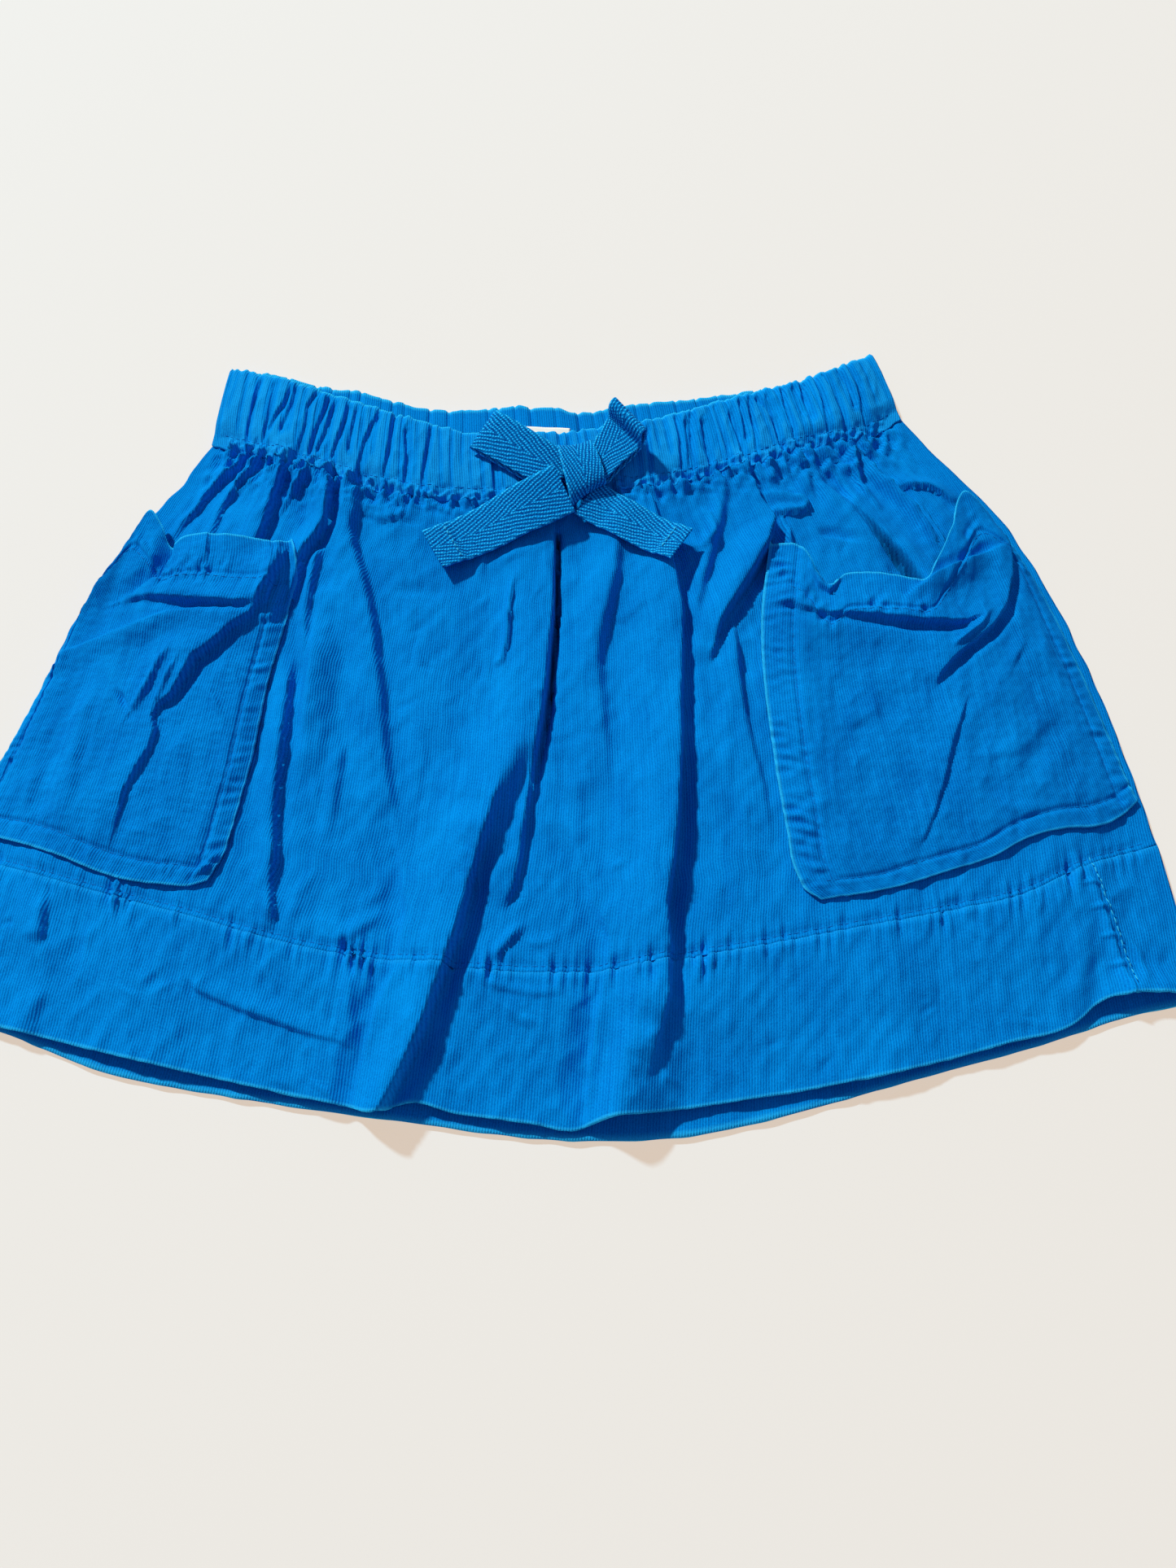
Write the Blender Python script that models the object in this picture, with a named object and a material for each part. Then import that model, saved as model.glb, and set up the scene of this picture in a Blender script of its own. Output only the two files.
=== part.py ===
"""Child's corduroy skirt laid flat: gathered waistband, patch pockets, hem band and tape bow."""
import math

import bpy
import numpy as np

# Sizes in millimetres. X runs to the wearer's left, Y to the waist, Z up from the surface.
CLOTH = 1.2
HEM_CLOTH = 1.4
BAND_CLOTH = 2.0
POCKET_CLOTH = 1.3
TAPE = 1.0
TAPE_WIDTH = 15.5
SEAM_GAP = 0.3
LAYER_GAP = 0.5
SIDE_LIFT = 0.3

PANEL_LIFT = 7.6
PANEL_SIDE_RISE = 40.0
SEAM_SWELL = 1.2
SEAM_SWELL_REACH = 26.0
BAND_LIFT_SEAM = 8.6
BAND_LIFT_TOP = 7.9
BAND_SIDE_RISE = 34.0
BAND_END_FLAT = 6.0
HEM_DEPTH = 48.0

BAND_PUCKERS = 46
BAND_PUCKER_HEIGHT = 0.75
BAND_STEPS_PER_PUCKER = 4
BACK_PUCKERS = 40
BACK_STEPS_PER_PUCKER = 3
BACK_PUCKER_HEIGHT = 0.4
EDGE_SCALLOP = 0.6

PANEL_COLUMNS = 82
PANEL_ROWS = 15
HEM_ROWS = 5
BACK_COLUMNS = 42
BACK_ROWS = 8
BACK_HEM_ROWS = 3
BAND_ROWS = 4
BACK_BAND_ROWS = 3
POCKET_COLUMNS = 19
POCKET_ROWS = 17

# Seam and edge lines seen from above: x, y
WAIST_SEAM = [
    (-128, 106), (-107, 97), (-94, 92), (-82, 88), (-69, 83), (-57, 80), (-45, 78), (-33, 77),
    (-10, 77), (10, 78), (27, 81), (52, 85), (76, 92), (101, 101), (113, 104), (125, 109), (137, 118),
]
FRONT_TOP_EDGE = [
    (-124, 141), (-115, 138), (-105, 134), (-86, 126), (-73, 122), (-60, 118), (-47, 114), (-35, 110),
    (-28, 108), (-10, 110), (9, 109), (21, 110), (40, 113), (53, 117), (65, 121), (78, 125),
    (91, 129), (104, 134), (117, 141), (127, 147),
]
BACK_TOP_EDGE = [
    (-124, 141), (-103, 138), (-87, 133), (-74, 131), (-61, 127), (-48, 123), (-35, 122), (-10, 124),
    (3, 123), (15, 121), (28, 124), (53, 127), (66, 129), (92, 133), (104, 136), (117, 142), (127, 147),
]
BACK_WAIST_SEAM = [(-128, 106), (-100, 100), (-60, 94), (0, 90), (60, 95), (104, 106), (137, 118)]
HEM_SEAM = [
    (-200, -57), (-178, -63), (-150, -71), (-112, -81), (-79, -90), (-34, -97), (15, -99), (57, -93),
    (101, -85), (133, -79), (156, -74), (181, -63), (207, -55),
]
FRONT_HEM = [
    (-213, -107), (-170, -116), (-127, -126), (-85, -135), (-46, -141), (-20, -143), (13, -147),
    (45, -141), (86, -135), (117, -130), (148, -122), (177, -110), (190, -105), (213, -106),
]
BACK_HEM = [
    (-213, -108), (-171, -117), (-138, -129), (-96, -137), (-45, -144), (10, -150), (46, -149),
    (76, -143), (118, -132), (160, -121), (193, -111), (213, -107),
]
BACK_HEM_SEAM = [(-200, -58), (-150, -75), (-79, -93), (0, -103), (57, -99), (133, -82), (207, -56)]

# Side outline: share of the way from waist seam to hem seam, left x, right x
SIDES = [
    (0.00, -128, 137), (0.08, -134, 146), (0.16, -143, 157), (0.24, -153, 168), (0.34, -161, 178),
    (0.46, -170, 187), (0.58, -176, 194), (0.70, -182, 199), (0.84, -190, 203), (1.00, -200, 207),
]

# Folds of the front, each a ridge path from waist to hem.
# Path rows: x, y, height. Then the width of the ridge's left and right flanks.
FOLDS = [
    ([(-8, -10, 0), (-14, -36, 3), (-22, -60, 6), (-31, -90, 8), (-40, -120, 8), (-48, -141, 7.5)], 34, 9),
    ([(0, 66, 0), (3, 50, 4), (4, 5, 4.5), (-1, -40, 3), (-8, -78, 0)], 26, 7),
    ([(30, 74, 0), (28, 55, 3), (23, 20, 2.2), (20, -18, 0)], 12, 13),
    ([(48, 80, 0), (48, 48, 6), (46, 5, 7), (43, -60, 8), (40, -100, 8), (35, -133, 7.5), (33, -150, 7)],
     24, 9),
    ([(-72, 78, 0), (-69, 50, 4), (-63, 20, 3.5), (-54, -10, 2), (-50, -40, 0)], 17, 10),
    ([(-100, 88, 2), (-104, 68, 4), (-107, 50, 2), (-108, 30, 0)], 13, 9),
    ([(-80, 86, 2), (-81, 62, 4), (-88, 45, 1), (-90, 30, 0)], 12, 8),
    ([(-36, 74, 1), (-32, 50, 2.5), (-30, 20, 2), (-28, -10, 0)], 14, 14),
    ([(74, 88, 2), (70, 60, 3), (62, 26, 2), (53, 5, 0)], 12, 10),
    ([(98, 98, 3), (102, 78, 4), (108, 55, 2), (110, 40, 0)], 11, 9),
    ([(116, 103, 3), (126, 80, 4), (134, 60, 2), (138, 45, 0)], 10, 9),
    ([(-120, 100, 2), (-128, 80, 3), (-134, 62, 0)], 10, 9),
    ([(70, 30, 0), (70, 0, 2), (75, -35, 2), (78, -66, 0)], 12, 8),
    ([(-86, 30, 0), (-88, 5, 2), (-91, -40, 2.5), (-90, -70, 1.5), (-84, -92, 0)], 10, 9),
    ([(100, -86, 0), (104, -105, 1.5), (108, -131, 2)], 26, 26),
    ([(-128, -80, 0), (-126, -105, 1.5), (-124, -127, 2)], 26, 24),
]

# Gathers under the waist seam: x at the seam, x at the lower end, reach down, height, half width
GATHERS = [
    (-112, -118, 22, 1.6, 6), (-92, -95, 26, 1.5, 6), (-60, -60, 30, 1.6, 7), (-48, -46, 26, 1.3, 6),
    (-20, -19, 24, 1.3, 7), (-6, -6, 20, 1.2, 6), (14, 15, 26, 1.4, 6), (62, 64, 28, 1.6, 6),
    (86, 88, 28, 1.6, 6), (108, 114, 26, 1.6, 6), (126, 136, 24, 1.4, 6),
]

# Mouth edge of each pocket, outer side seam first: x, y, height over the panel
LEFT_MOUTH = [
    (-157, 52, 1.0), (-151, 66, 4.0), (-146, 73, 6.5), (-140, 67, 7.0), (-134, 58, 6.2), (-124, 61, 7.5),
    (-112, 61, 7.8), (-102, 61, 6.0), (-95, 61, 1.0),
]
RIGHT_MOUTH = [
    (174, 58, 1.0), (164, 72, 4.0), (156, 81, 6.5), (149, 64, 7.0), (142, 45, 6.4), (126, 42, 6.6),
    (112, 43, 6.4), (103, 40, 5.4), (95, 52, 4.0), (84, 61, 1.0),
]
# Inner edge from the mouth down, then bottom edge from the inner corner outwards: x, y
LEFT_INNER = [(-95, 61), (-92, 37), (-98, 8), (-99, -15), (-102, -45), (-108, -67)]
LEFT_BOTTOM = [(-108, -67), (-120, -69), (-146, -65), (-180, -54), (-196, -47)]
LEFT_OUTER = [(-157, 52), (-166, 35), (-172, 8), (-178, -10), (-187, -32), (-196, -47)]
RIGHT_INNER = [(84, 61), (80, 49), (77, 14), (81, -30), (85, -60), (93, -74)]
RIGHT_BOTTOM = [(93, -74), (117, -72), (144, -66), (167, -57), (184, -51), (200, -42)]
RIGHT_OUTER = [(174, 58), (182, 38), (189, 19), (193, -3), (197, -24), (200, -42)]

# Puff of a pocket between mouth and bottom: share of the way down, height over the panel
LEFT_PUFF = [(0.0, 1.0), (0.10, 1.0), (0.20, 1.0), (0.32, 0.75), (0.5, 0.7), (0.75, 0.45), (1.0, 0.0)]
RIGHT_PUFF = [(0.0, 1.0), (0.12, 1.0), (0.22, 0.9), (0.36, 0.7), (0.55, 0.6), (0.8, 0.35), (1.0, 0.0)]
PUFF_HEIGHT = 7.5
PUFF_FULLNESS = 0.7
MOUTH_SHARE = 0.3
BOTTOM_FLAT_SHARE = 0.2
MOUTH_FOLD_SHARE = 0.4
MOUTH_FOLD_REACH = 0.08
LEFT_POCKET_FOLDS = [
    ([(-128, 28, 0), (-136, 8, 3), (-137, -20, 3.5), (-140, -55, 0)], 18, 8),
    ([(-114, 44, 2), (-116, 34, 2), (-122, 24, 0)], 20, 12),
]
RIGHT_POCKET_FOLDS = [
    ([(166, 56, 2), (162, 30, 3.5), (148, 8, 2.5), (140, -25, 2), (127, -52, 0)], 8, 20),
    ([(118, 30, 1), (116, 18, 1.5), (112, -5, 0)], 18, 18),
]

# Bow. Stations of each tape: x, y, height over what lies below, share of the full width
LEFT_TAIL = [(4.2, 77.0, 1.2, 0.70), (-3, 73, 0.9, 0.9), (-14, 67, 0.6, 1.0), (-27, 59.5, 0.6, 1.0),
             (-39.5, 52.5, 0.8, 1.0)]
RIGHT_TAIL = [(20.5, 72.5, 1.2, 0.62), (28, 67.5, 0.8, 0.8), (38, 60.5, 0.6, 0.86), (49, 53.5, 0.8, 0.88)]
# Loop stations: distance out from the knot, height over the knot's foot, share of the full width
LEFT_LOOP = [(0.0, 1.2, 0.34), (7, 0.8, 0.62), (14, 0.6, 0.86), (21, 0.8, 0.98), (25.5, 1.4, 1.0),
             (27.5, 2.6, 1.0), (27.3, 4.2, 1.0), (25, 5.3, 1.0), (20, 5.9, 0.98), (13, 6.0, 0.86),
             (6.5, 5.6, 0.62), (0.0, 4.9, 0.34)]
RIGHT_LOOP = [(0.0, 1.4, 0.36), (6, 1.6, 0.66), (12, 2.6, 0.92), (16, 4.0, 1.0), (18.2, 5.8, 1.0),
              (18.0, 7.8, 1.0), (15.4, 8.9, 1.0), (10, 8.4, 0.9), (5, 6.9, 0.66), (0.0, 5.1, 0.36)]
LEFT_LOOP_START = (4.6, 88.5)
LEFT_LOOP_HEADING = 157.0
RIGHT_LOOP_START = (19.2, 96.6)
RIGHT_LOOP_HEADING = 50.0
KNOT_PLAN = [(6, 83), (6, 93), (16, 98), (21.5, 94), (23.5, 86), (19, 76), (13.5, 71), (9, 74)]
# Knot rings: height over its foot, scale about the middle
KNOT_RINGS = [(0.0, 0.78), (1.2, 0.95), (3.4, 1.0), (5.8, 0.96), (7.2, 0.78), (7.8, 0.46)]
KNOT_FOOT = 12.6

LABEL_WIDTH = 18.0
LABEL_LENGTH = 26.0
LABEL_THICK = 1.0
LABEL_MIDDLE = (0.0, 103.0)

CORD_BLUE = (0.004, 0.20, 0.62)
TAPE_BLUE = (0.006, 0.16, 0.42)
LABEL_WHITE = (0.9, 0.9, 0.88)

MM = 0.001
SLOPE_STEP = 0.8
TAIL_PROBES = 9
TAIL_PROBE_REACH = 1.1
SEAM_OVERLAP = 1.0


def column(table, index):
    """One column of a table as an array."""
    return np.array([row[index] for row in table], dtype=float)


def smooth_curve(keys, values, at):
    """Value of a smooth curve through the keyed values."""
    keys = np.asarray(keys, dtype=float)
    values = np.asarray(values, dtype=float)
    at = np.clip(np.asarray(at, dtype=float), keys[0], keys[-1])
    slopes = np.gradient(values, keys)
    cell = np.clip(np.searchsorted(keys, at, side="right") - 1, 0, len(keys) - 2)
    span = keys[cell + 1] - keys[cell]
    q = (at - keys[cell]) / span
    start = (1 + 2 * q) * (1 - q) ** 2 * values[cell] + q * (1 - q) ** 2 * span * slopes[cell]
    end = q * q * (3 - 2 * q) * values[cell + 1] + q * q * (q - 1) * span * slopes[cell + 1]
    return start + end


def line_height(line, x):
    """Y of a seam or edge line at the given x."""
    return smooth_curve(column(line, 0), column(line, 1), x)


def spread(line, across):
    """X at a share of the way along a line, from its left end to its right end."""
    left = line[0][0]
    right = line[-1][0]
    return left + (right - left) * across


def end_distance(line, x):
    """Distance along X from the nearer end of a line."""
    return np.minimum(x - line[0][0], line[-1][0] - x)


def ease(q):
    """Smooth step from 0 to 1."""
    q = np.clip(q, 0.0, 1.0)
    return q * q * (3 - 2 * q)


def bell(q):
    """Rounded hump, 1 at the middle and 0 beyond one width."""
    return 0.5 + 0.5 * np.cos(np.pi * np.clip(np.abs(q), 0.0, 1.0))


def ridge(path, left, right, x, y):
    """Height that one fold adds at each point."""
    low_first = path[::-1]
    keys = column(low_first, 1)
    middle = np.interp(y, keys, column(low_first, 0))
    height = np.interp(y, keys, column(low_first, 2))
    away = x - middle
    width = np.where(away < 0, left, right)
    return height * bell(away / width)


def side_x(y_share):
    """Left and right outline x at a share of the way down the front."""
    share = column(SIDES, 0)
    return smooth_curve(share, column(SIDES, 1), y_share), smooth_curve(share, column(SIDES, 2), y_share)


def gathers(x, y):
    """Height of the short gathers that run down from the waist seam."""
    total = np.zeros_like(x)
    down = line_height(WAIST_SEAM, x) - y
    for top_x, low_x, reach, height, half in GATHERS:
        share = np.clip(down / reach, 0.0, 1.0)
        middle = top_x + (low_x - top_x) * share
        total = total + height * bell(share) * bell((x - middle) / half)
    return total


def outline_distance(x, y):
    """Distance along X from the nearer side of the front."""
    top = line_height(WAIST_SEAM, x)
    low = line_height(HEM_SEAM, x)
    share = np.clip((top - y) / (top - low), 0.0, 1.0)
    left, right = side_x(share)
    below = np.clip((low - y) / HEM_DEPTH, 0.0, 1.0)
    left = left + (FRONT_HEM[0][0] - HEM_SEAM[0][0]) * below
    right = right + (FRONT_HEM[-1][0] - HEM_SEAM[-1][0]) * below
    return np.minimum(x - left, right - x)


def panel_height(x, y):
    """Underside of the front over the surface."""
    x = np.asarray(x, dtype=float)
    y = np.asarray(y, dtype=float)
    inside = ease(outline_distance(x, y) / PANEL_SIDE_RISE)
    foot = CLOTH + SIDE_LIFT
    down = line_height(WAIST_SEAM, x) - y
    swell = SEAM_SWELL * (1 - ease(down / SEAM_SWELL_REACH))
    lift = PANEL_LIFT - foot + swell
    for path, left, right in FOLDS:
        lift = lift + ridge(path, left, right, x, y)
    lift = lift + gathers(x, y)
    return foot + lift * inside


def panel_top(x, y):
    """Upper face of the front over the surface."""
    slope_x = (panel_height(x + SLOPE_STEP, y) - panel_height(x - SLOPE_STEP, y)) / (2 * SLOPE_STEP)
    slope_y = (panel_height(x, y + SLOPE_STEP) - panel_height(x, y - SLOPE_STEP)) / (2 * SLOPE_STEP)
    return panel_height(x, y) + CLOTH * np.sqrt(1 + slope_x ** 2 + slope_y ** 2)


def ruled(top_x, top_y, low_x, low_y, rows):
    """Plan grid between a top line and a lower line."""
    share = np.linspace(0.0, 1.0, rows)[:, None]
    x = top_x[None, :] * (1 - share) + low_x[None, :] * share
    y = top_y[None, :] * (1 - share) + low_y[None, :] * share
    return x, y


def panel_plan(top_line, low_line, columns, rows):
    """Plan grid of a skirt panel from the waist seam to the hem seam."""
    across = np.linspace(0.0, 1.0, columns)
    down = np.linspace(0.0, 1.0, rows)
    top_y = line_height(top_line, spread(top_line, across)) - SEAM_GAP / 2
    low_y = line_height(low_line, spread(low_line, across)) + SEAM_GAP / 2
    left, right = side_x(down)
    x = left[:, None] + (right - left)[:, None] * across[None, :]
    y = top_y[None, :] * (1 - down[:, None]) + low_y[None, :] * down[:, None]
    return x, y


def hem_plan(seam_line, edge_line, columns, rows):
    """Plan grid of a hem band from its seam to the edge."""
    across = np.linspace(0.0, 1.0, columns)
    top_x = spread(seam_line, across)
    low_x = spread(edge_line, across)
    top_y = line_height(seam_line, top_x) - SEAM_GAP / 2
    return ruled(top_x, top_y, low_x, line_height(edge_line, low_x), rows)


def band_plan(seam_line, edge_line, columns, rows, puckers):
    """Plan grid of a waistband from its top edge to the waist seam."""
    across = np.linspace(0.0, 1.0, columns)
    low_x = spread(seam_line, across)
    top_x = spread(edge_line, across)
    scallop = EDGE_SCALLOP * np.cos(2 * np.pi * puckers * across)
    top_y = line_height(edge_line, top_x) + scallop
    low_y = line_height(seam_line, low_x) + SEAM_GAP / 2
    x, y = ruled(top_x, top_y, low_x, low_y, rows)
    return x, y, across


def grid_normals(points):
    """Upward unit normals of a grid of points."""
    down = np.gradient(points, axis=0)
    along = np.gradient(points, axis=1)
    normal = np.cross(down, along)
    return normal / np.linalg.norm(normal, axis=2, keepdims=True)


def add_object(name, vertices, faces, material):
    """Mesh object in metres with one material."""
    mesh = bpy.data.meshes.new(name)
    mesh.from_pydata([tuple(v * MM for v in vertex) for vertex in vertices], [], faces)
    mesh.materials.append(material)
    mesh.update()
    item = bpy.data.objects.new(name, mesh)
    bpy.context.scene.collection.objects.link(item)
    return item


def closed_sheet(name, lower, upper, material):
    """Closed body between two grids of matching points."""
    rows, columns = lower.shape[:2]
    count = rows * columns
    vertices = np.concatenate([lower.reshape(-1, 3), upper.reshape(-1, 3)])
    faces = []
    for i in range(rows - 1):
        for j in range(columns - 1):
            a = i * columns + j
            b = a + columns
            faces.append((count + a, count + b, count + b + 1, count + a + 1))
            faces.append((a, a + 1, b + 1, b))
    rim = [(0, j) for j in range(columns - 1)]
    rim += [(i, columns - 1) for i in range(rows - 1)]
    rim += [(rows - 1, j) for j in range(columns - 1, 0, -1)]
    rim += [(i, 0) for i in range(rows - 1, 0, -1)]
    ring = [i * columns + j for i, j in rim]
    for k, here in enumerate(ring):
        after = ring[(k + 1) % len(ring)]
        faces.append((here, count + here, count + after, after))
    return add_object(name, vertices, faces, material)


def sheet(name, x, y, z, thick, material):
    """Closed body whose underside is the given grid."""
    lower = np.stack([x, y, z], axis=2)
    upper = lower + grid_normals(lower) * np.asarray(thick)[..., None]
    return closed_sheet(name, lower, upper, material)


def flat_sheet(name, x, y, z_low, z_high, material):
    """Closed body with a level underside."""
    lower = np.stack([x, y, np.zeros_like(x) + z_low], axis=2)
    upper = np.stack([x, y, np.zeros_like(x) + z_high], axis=2)
    return closed_sheet(name, lower, upper, material)


def pocket_grid(mouth, inner, bottom, outer):
    """Plan grid of a pocket, rows from the mouth down and columns from the outer edge in."""
    across = np.linspace(0.0, 1.0, POCKET_COLUMNS)
    down = np.linspace(0.0, 1.0, POCKET_ROWS)

    def along(line, share):
        keys = np.linspace(0.0, 1.0, len(line))
        return np.stack([smooth_curve(keys, column(line, k), share) for k in range(len(line[0]))], axis=1)

    mouth_rows = along(mouth, across)
    top = mouth_rows[:, :2]
    low = along(bottom[::-1], across)
    first = along(outer, down)
    last = along(inner, down)
    s = across[None, :, None]
    t = down[:, None, None]
    plan = (1 - t) * top[None] + t * low[None] + (1 - s) * first[:, None] + s * last[:, None]
    corners = (1 - s) * (1 - t) * top[0] + s * (1 - t) * top[-1] + (1 - s) * t * low[0] + s * t * low[-1]
    return plan - corners, mouth_rows[:, 2], across, down


def pocket(name, mouth, inner, bottom, outer, puff, folds, mirrored, material):
    """Patch pocket standing a little off the panel, open at the mouth."""
    plan, mouth_lift, across, down = pocket_grid(mouth, inner, bottom, outer)
    if mirrored:
        plan = plan[:, ::-1]
        mouth_lift = mouth_lift[::-1]
        across = across[::-1]
    x = plan[..., 0]
    y = plan[..., 1]
    share = smooth_curve(column(puff, 0), column(puff, 1), down)[:, None]
    arch = (np.sin(np.pi * across) ** PUFF_FULLNESS)[None, :]
    mouth_share = (1 - ease(down / MOUTH_SHARE))[:, None]
    lift = mouth_share * mouth_lift[None, :] + (1 - mouth_share) * PUFF_HEIGHT * share * arch
    lift = lift * ease((1 - down) / BOTTOM_FLAT_SHARE)[:, None]
    fold_share = ease(down / MOUTH_FOLD_REACH + MOUTH_FOLD_SHARE)[:, None]
    for path, left, right in folds:
        lift = lift + ridge(path, left, right, x, y) * arch * fold_share
    z = panel_top(x, y) + LAYER_GAP + lift
    return sheet(name, x, y, z, np.full(x.shape, POCKET_CLOTH), material)


def tape_body(name, centres, sides, material):
    """Closed tape of even thickness along its centre line."""
    tangent = np.gradient(centres, axis=0)
    normal = np.cross(sides, tangent)
    normal = normal / np.linalg.norm(normal, axis=1, keepdims=True)
    left = centres - sides
    right = centres + sides
    lower = np.stack([left, centres, right], axis=0)
    upper = lower + normal[None] * TAPE
    return closed_sheet(name, lower, upper, material)


def plan_sides(points, widths):
    """Half-width vectors square to a tape's path in plan, pointing to its right."""
    tangent = np.gradient(points[:, :2], axis=0)
    tangent = tangent / np.linalg.norm(tangent, axis=1, keepdims=True)
    square = np.stack([tangent[:, 1], -tangent[:, 0], np.zeros(len(points))], axis=1)
    return square * (TAPE_WIDTH / 2 * widths)[:, None]


def tail(name, stations, material):
    """Free tape end lying on the front."""
    keys = np.linspace(0.0, 1.0, len(stations))
    at = np.linspace(0.0, 1.0, 2 * len(stations) + 1)
    x, y, over, width = [smooth_curve(keys, column(stations, k), at) for k in range(4)]
    points = np.stack([x, y, np.zeros_like(x)], axis=1)
    sides = plan_sides(points, width)
    reach = np.linspace(-TAIL_PROBE_REACH, TAIL_PROBE_REACH, TAIL_PROBES)
    under = []
    for point, side in zip(points, sides):
        px = point[0] + reach * side[0]
        py = point[1] + reach * side[1]
        under.append(np.max(cover_height(px, py)))
    points[:, 2] = np.array(under) + over
    return tape_body(name, points, sides, material)


def band_height(x, up):
    """Underside of the front waistband at a share of the way up from the seam."""
    foot = BAND_CLOTH + BACK_PUCKER_HEIGHT + SIDE_LIFT
    lift = BAND_LIFT_SEAM + (BAND_LIFT_TOP - BAND_LIFT_SEAM) * up - foot
    return foot + lift * ease(end_distance(WAIST_SEAM, x) / BAND_SIDE_RISE)


def cover_height(x, y):
    """Upper face of the front or the waistband, whichever lies at the point."""
    on_band = y > line_height(WAIST_SEAM, x) - SEAM_OVERLAP
    band = band_height(x, 0.0) + BAND_CLOTH + 2 * BAND_PUCKER_HEIGHT
    return np.where(on_band, np.maximum(band, panel_top(x, y)), panel_top(x, y))


def loop(name, start, heading, stations, material):
    """Tape loop that leaves the knot and comes back over itself."""
    angle = math.radians(heading)
    out = np.array([math.cos(angle), math.sin(angle), 0.0])
    square = np.array([math.sin(angle), -math.cos(angle), 0.0])
    distance = column(stations, 0)[:, None]
    height = column(stations, 1) + KNOT_FOOT
    widths = column(stations, 2)[:, None]
    centres = np.array([start[0], start[1], 0.0]) + out * distance
    centres[:, 2] = height
    sides = square * widths * TAPE_WIDTH / 2
    return tape_body(name, centres, sides, material)


def knot(name, material):
    """Rounded knot of the bow."""
    plan = np.array(KNOT_PLAN, dtype=float)
    middle = plan.mean(axis=0)
    vertices = []
    for height, scale in KNOT_RINGS:
        for corner in plan:
            at = middle + (corner - middle) * scale
            vertices.append((at[0], at[1], KNOT_FOOT + height))
    count = len(plan)
    order = list(range(count))
    faces = [tuple(order)]
    for ring in range(len(KNOT_RINGS) - 1):
        for k in order:
            a = ring * count + k
            b = ring * count + (k + 1) % count
            faces.append((a, a + count, b + count, b))
    faces.append(tuple((len(KNOT_RINGS) - 1) * count + k for k in reversed(order)))
    return add_object(name, vertices, faces, material)


def make_material(name, colour, roughness):
    """Plain Principled material."""
    material = bpy.data.materials.new(name)
    material.use_nodes = True
    shader = material.node_tree.nodes["Principled BSDF"]
    shader.inputs["Base Color"].default_value = (*colour, 1.0)
    shader.inputs["Roughness"].default_value = roughness
    return material


def place_on_origin(items):
    """Hang the pieces on one empty that stands their bounding box over the origin."""
    points = np.array([vertex.co[:] for item in items for vertex in item.data.vertices])
    low = points.min(axis=0)
    high = points.max(axis=0)
    skirt = bpy.data.objects.new("skirt", None)
    bpy.context.scene.collection.objects.link(skirt)
    skirt.location = (-(low[0] + high[0]) / 2, -(low[1] + high[1]) / 2, -low[2])
    for item in items:
        item.parent = skirt


def build_panels(cloth):
    """Front and back panels with their hem bands."""
    x, y = panel_plan(WAIST_SEAM, HEM_SEAM, PANEL_COLUMNS, PANEL_ROWS)
    front = sheet("skirt_front", x, y, panel_height(x, y), np.full(x.shape, CLOTH), cloth("front_corduroy"))
    x, y = hem_plan(HEM_SEAM, FRONT_HEM, PANEL_COLUMNS, HEM_ROWS)
    front_hem = sheet("hem_band_front", x, y, panel_height(x, y), np.full(x.shape, HEM_CLOTH),
                      cloth("hem_front_corduroy"))
    x, y = panel_plan(BACK_WAIST_SEAM, BACK_HEM_SEAM, BACK_COLUMNS, BACK_ROWS)
    back = flat_sheet("skirt_back", x, y, 0.0, CLOTH, cloth("back_corduroy"))
    x, y = hem_plan(BACK_HEM_SEAM, BACK_HEM, BACK_COLUMNS, BACK_HEM_ROWS)
    back_hem = flat_sheet("hem_band_back", x, y, 0.0, CLOTH, cloth("hem_back_corduroy"))
    return [front, front_hem, back, back_hem]


def build_waistband(cloth):
    """Front and back halves of the elastic waistband."""
    columns = BAND_PUCKERS * BAND_STEPS_PER_PUCKER + 1
    x, y, across = band_plan(WAIST_SEAM, FRONT_TOP_EDGE, columns, BAND_ROWS, BAND_PUCKERS)
    up = np.linspace(1.0, 0.0, BAND_ROWS)[:, None]
    wave = BAND_PUCKER_HEIGHT * (1 + np.cos(2 * np.pi * BAND_PUCKERS * across))[None, :]
    wave = wave * ease(end_distance(WAIST_SEAM, x) / BAND_END_FLAT)
    z = band_height(x, up)
    lower = np.stack([x, y, z], axis=2)
    upper = np.stack([x, y, z + BAND_CLOTH + wave], axis=2)
    front = closed_sheet("waistband_front", lower, upper, cloth("band_front_corduroy"))
    columns = BACK_PUCKERS * BACK_STEPS_PER_PUCKER + 1
    x, y, across = band_plan(BACK_WAIST_SEAM, BACK_TOP_EDGE, columns, BACK_BAND_ROWS, BACK_PUCKERS)
    wave = BACK_PUCKER_HEIGHT * (0.5 + 0.5 * np.cos(2 * np.pi * BACK_PUCKERS * across))[None, :]
    top = BAND_CLOTH + wave + np.zeros_like(x)
    back = flat_sheet("waistband_back", x, y, 0.0, top, cloth("band_back_corduroy"))
    return [front, back]


def build_pockets(cloth):
    """Both patch pockets."""
    left = pocket("pocket_left", LEFT_MOUTH, LEFT_INNER, LEFT_BOTTOM, LEFT_OUTER, LEFT_PUFF,
                  LEFT_POCKET_FOLDS, False, cloth("pocket_left_corduroy"))
    right = pocket("pocket_right", RIGHT_MOUTH, RIGHT_INNER, RIGHT_BOTTOM, RIGHT_OUTER, RIGHT_PUFF,
                   RIGHT_POCKET_FOLDS, True, cloth("pocket_right_corduroy"))
    return [left, right]


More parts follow.
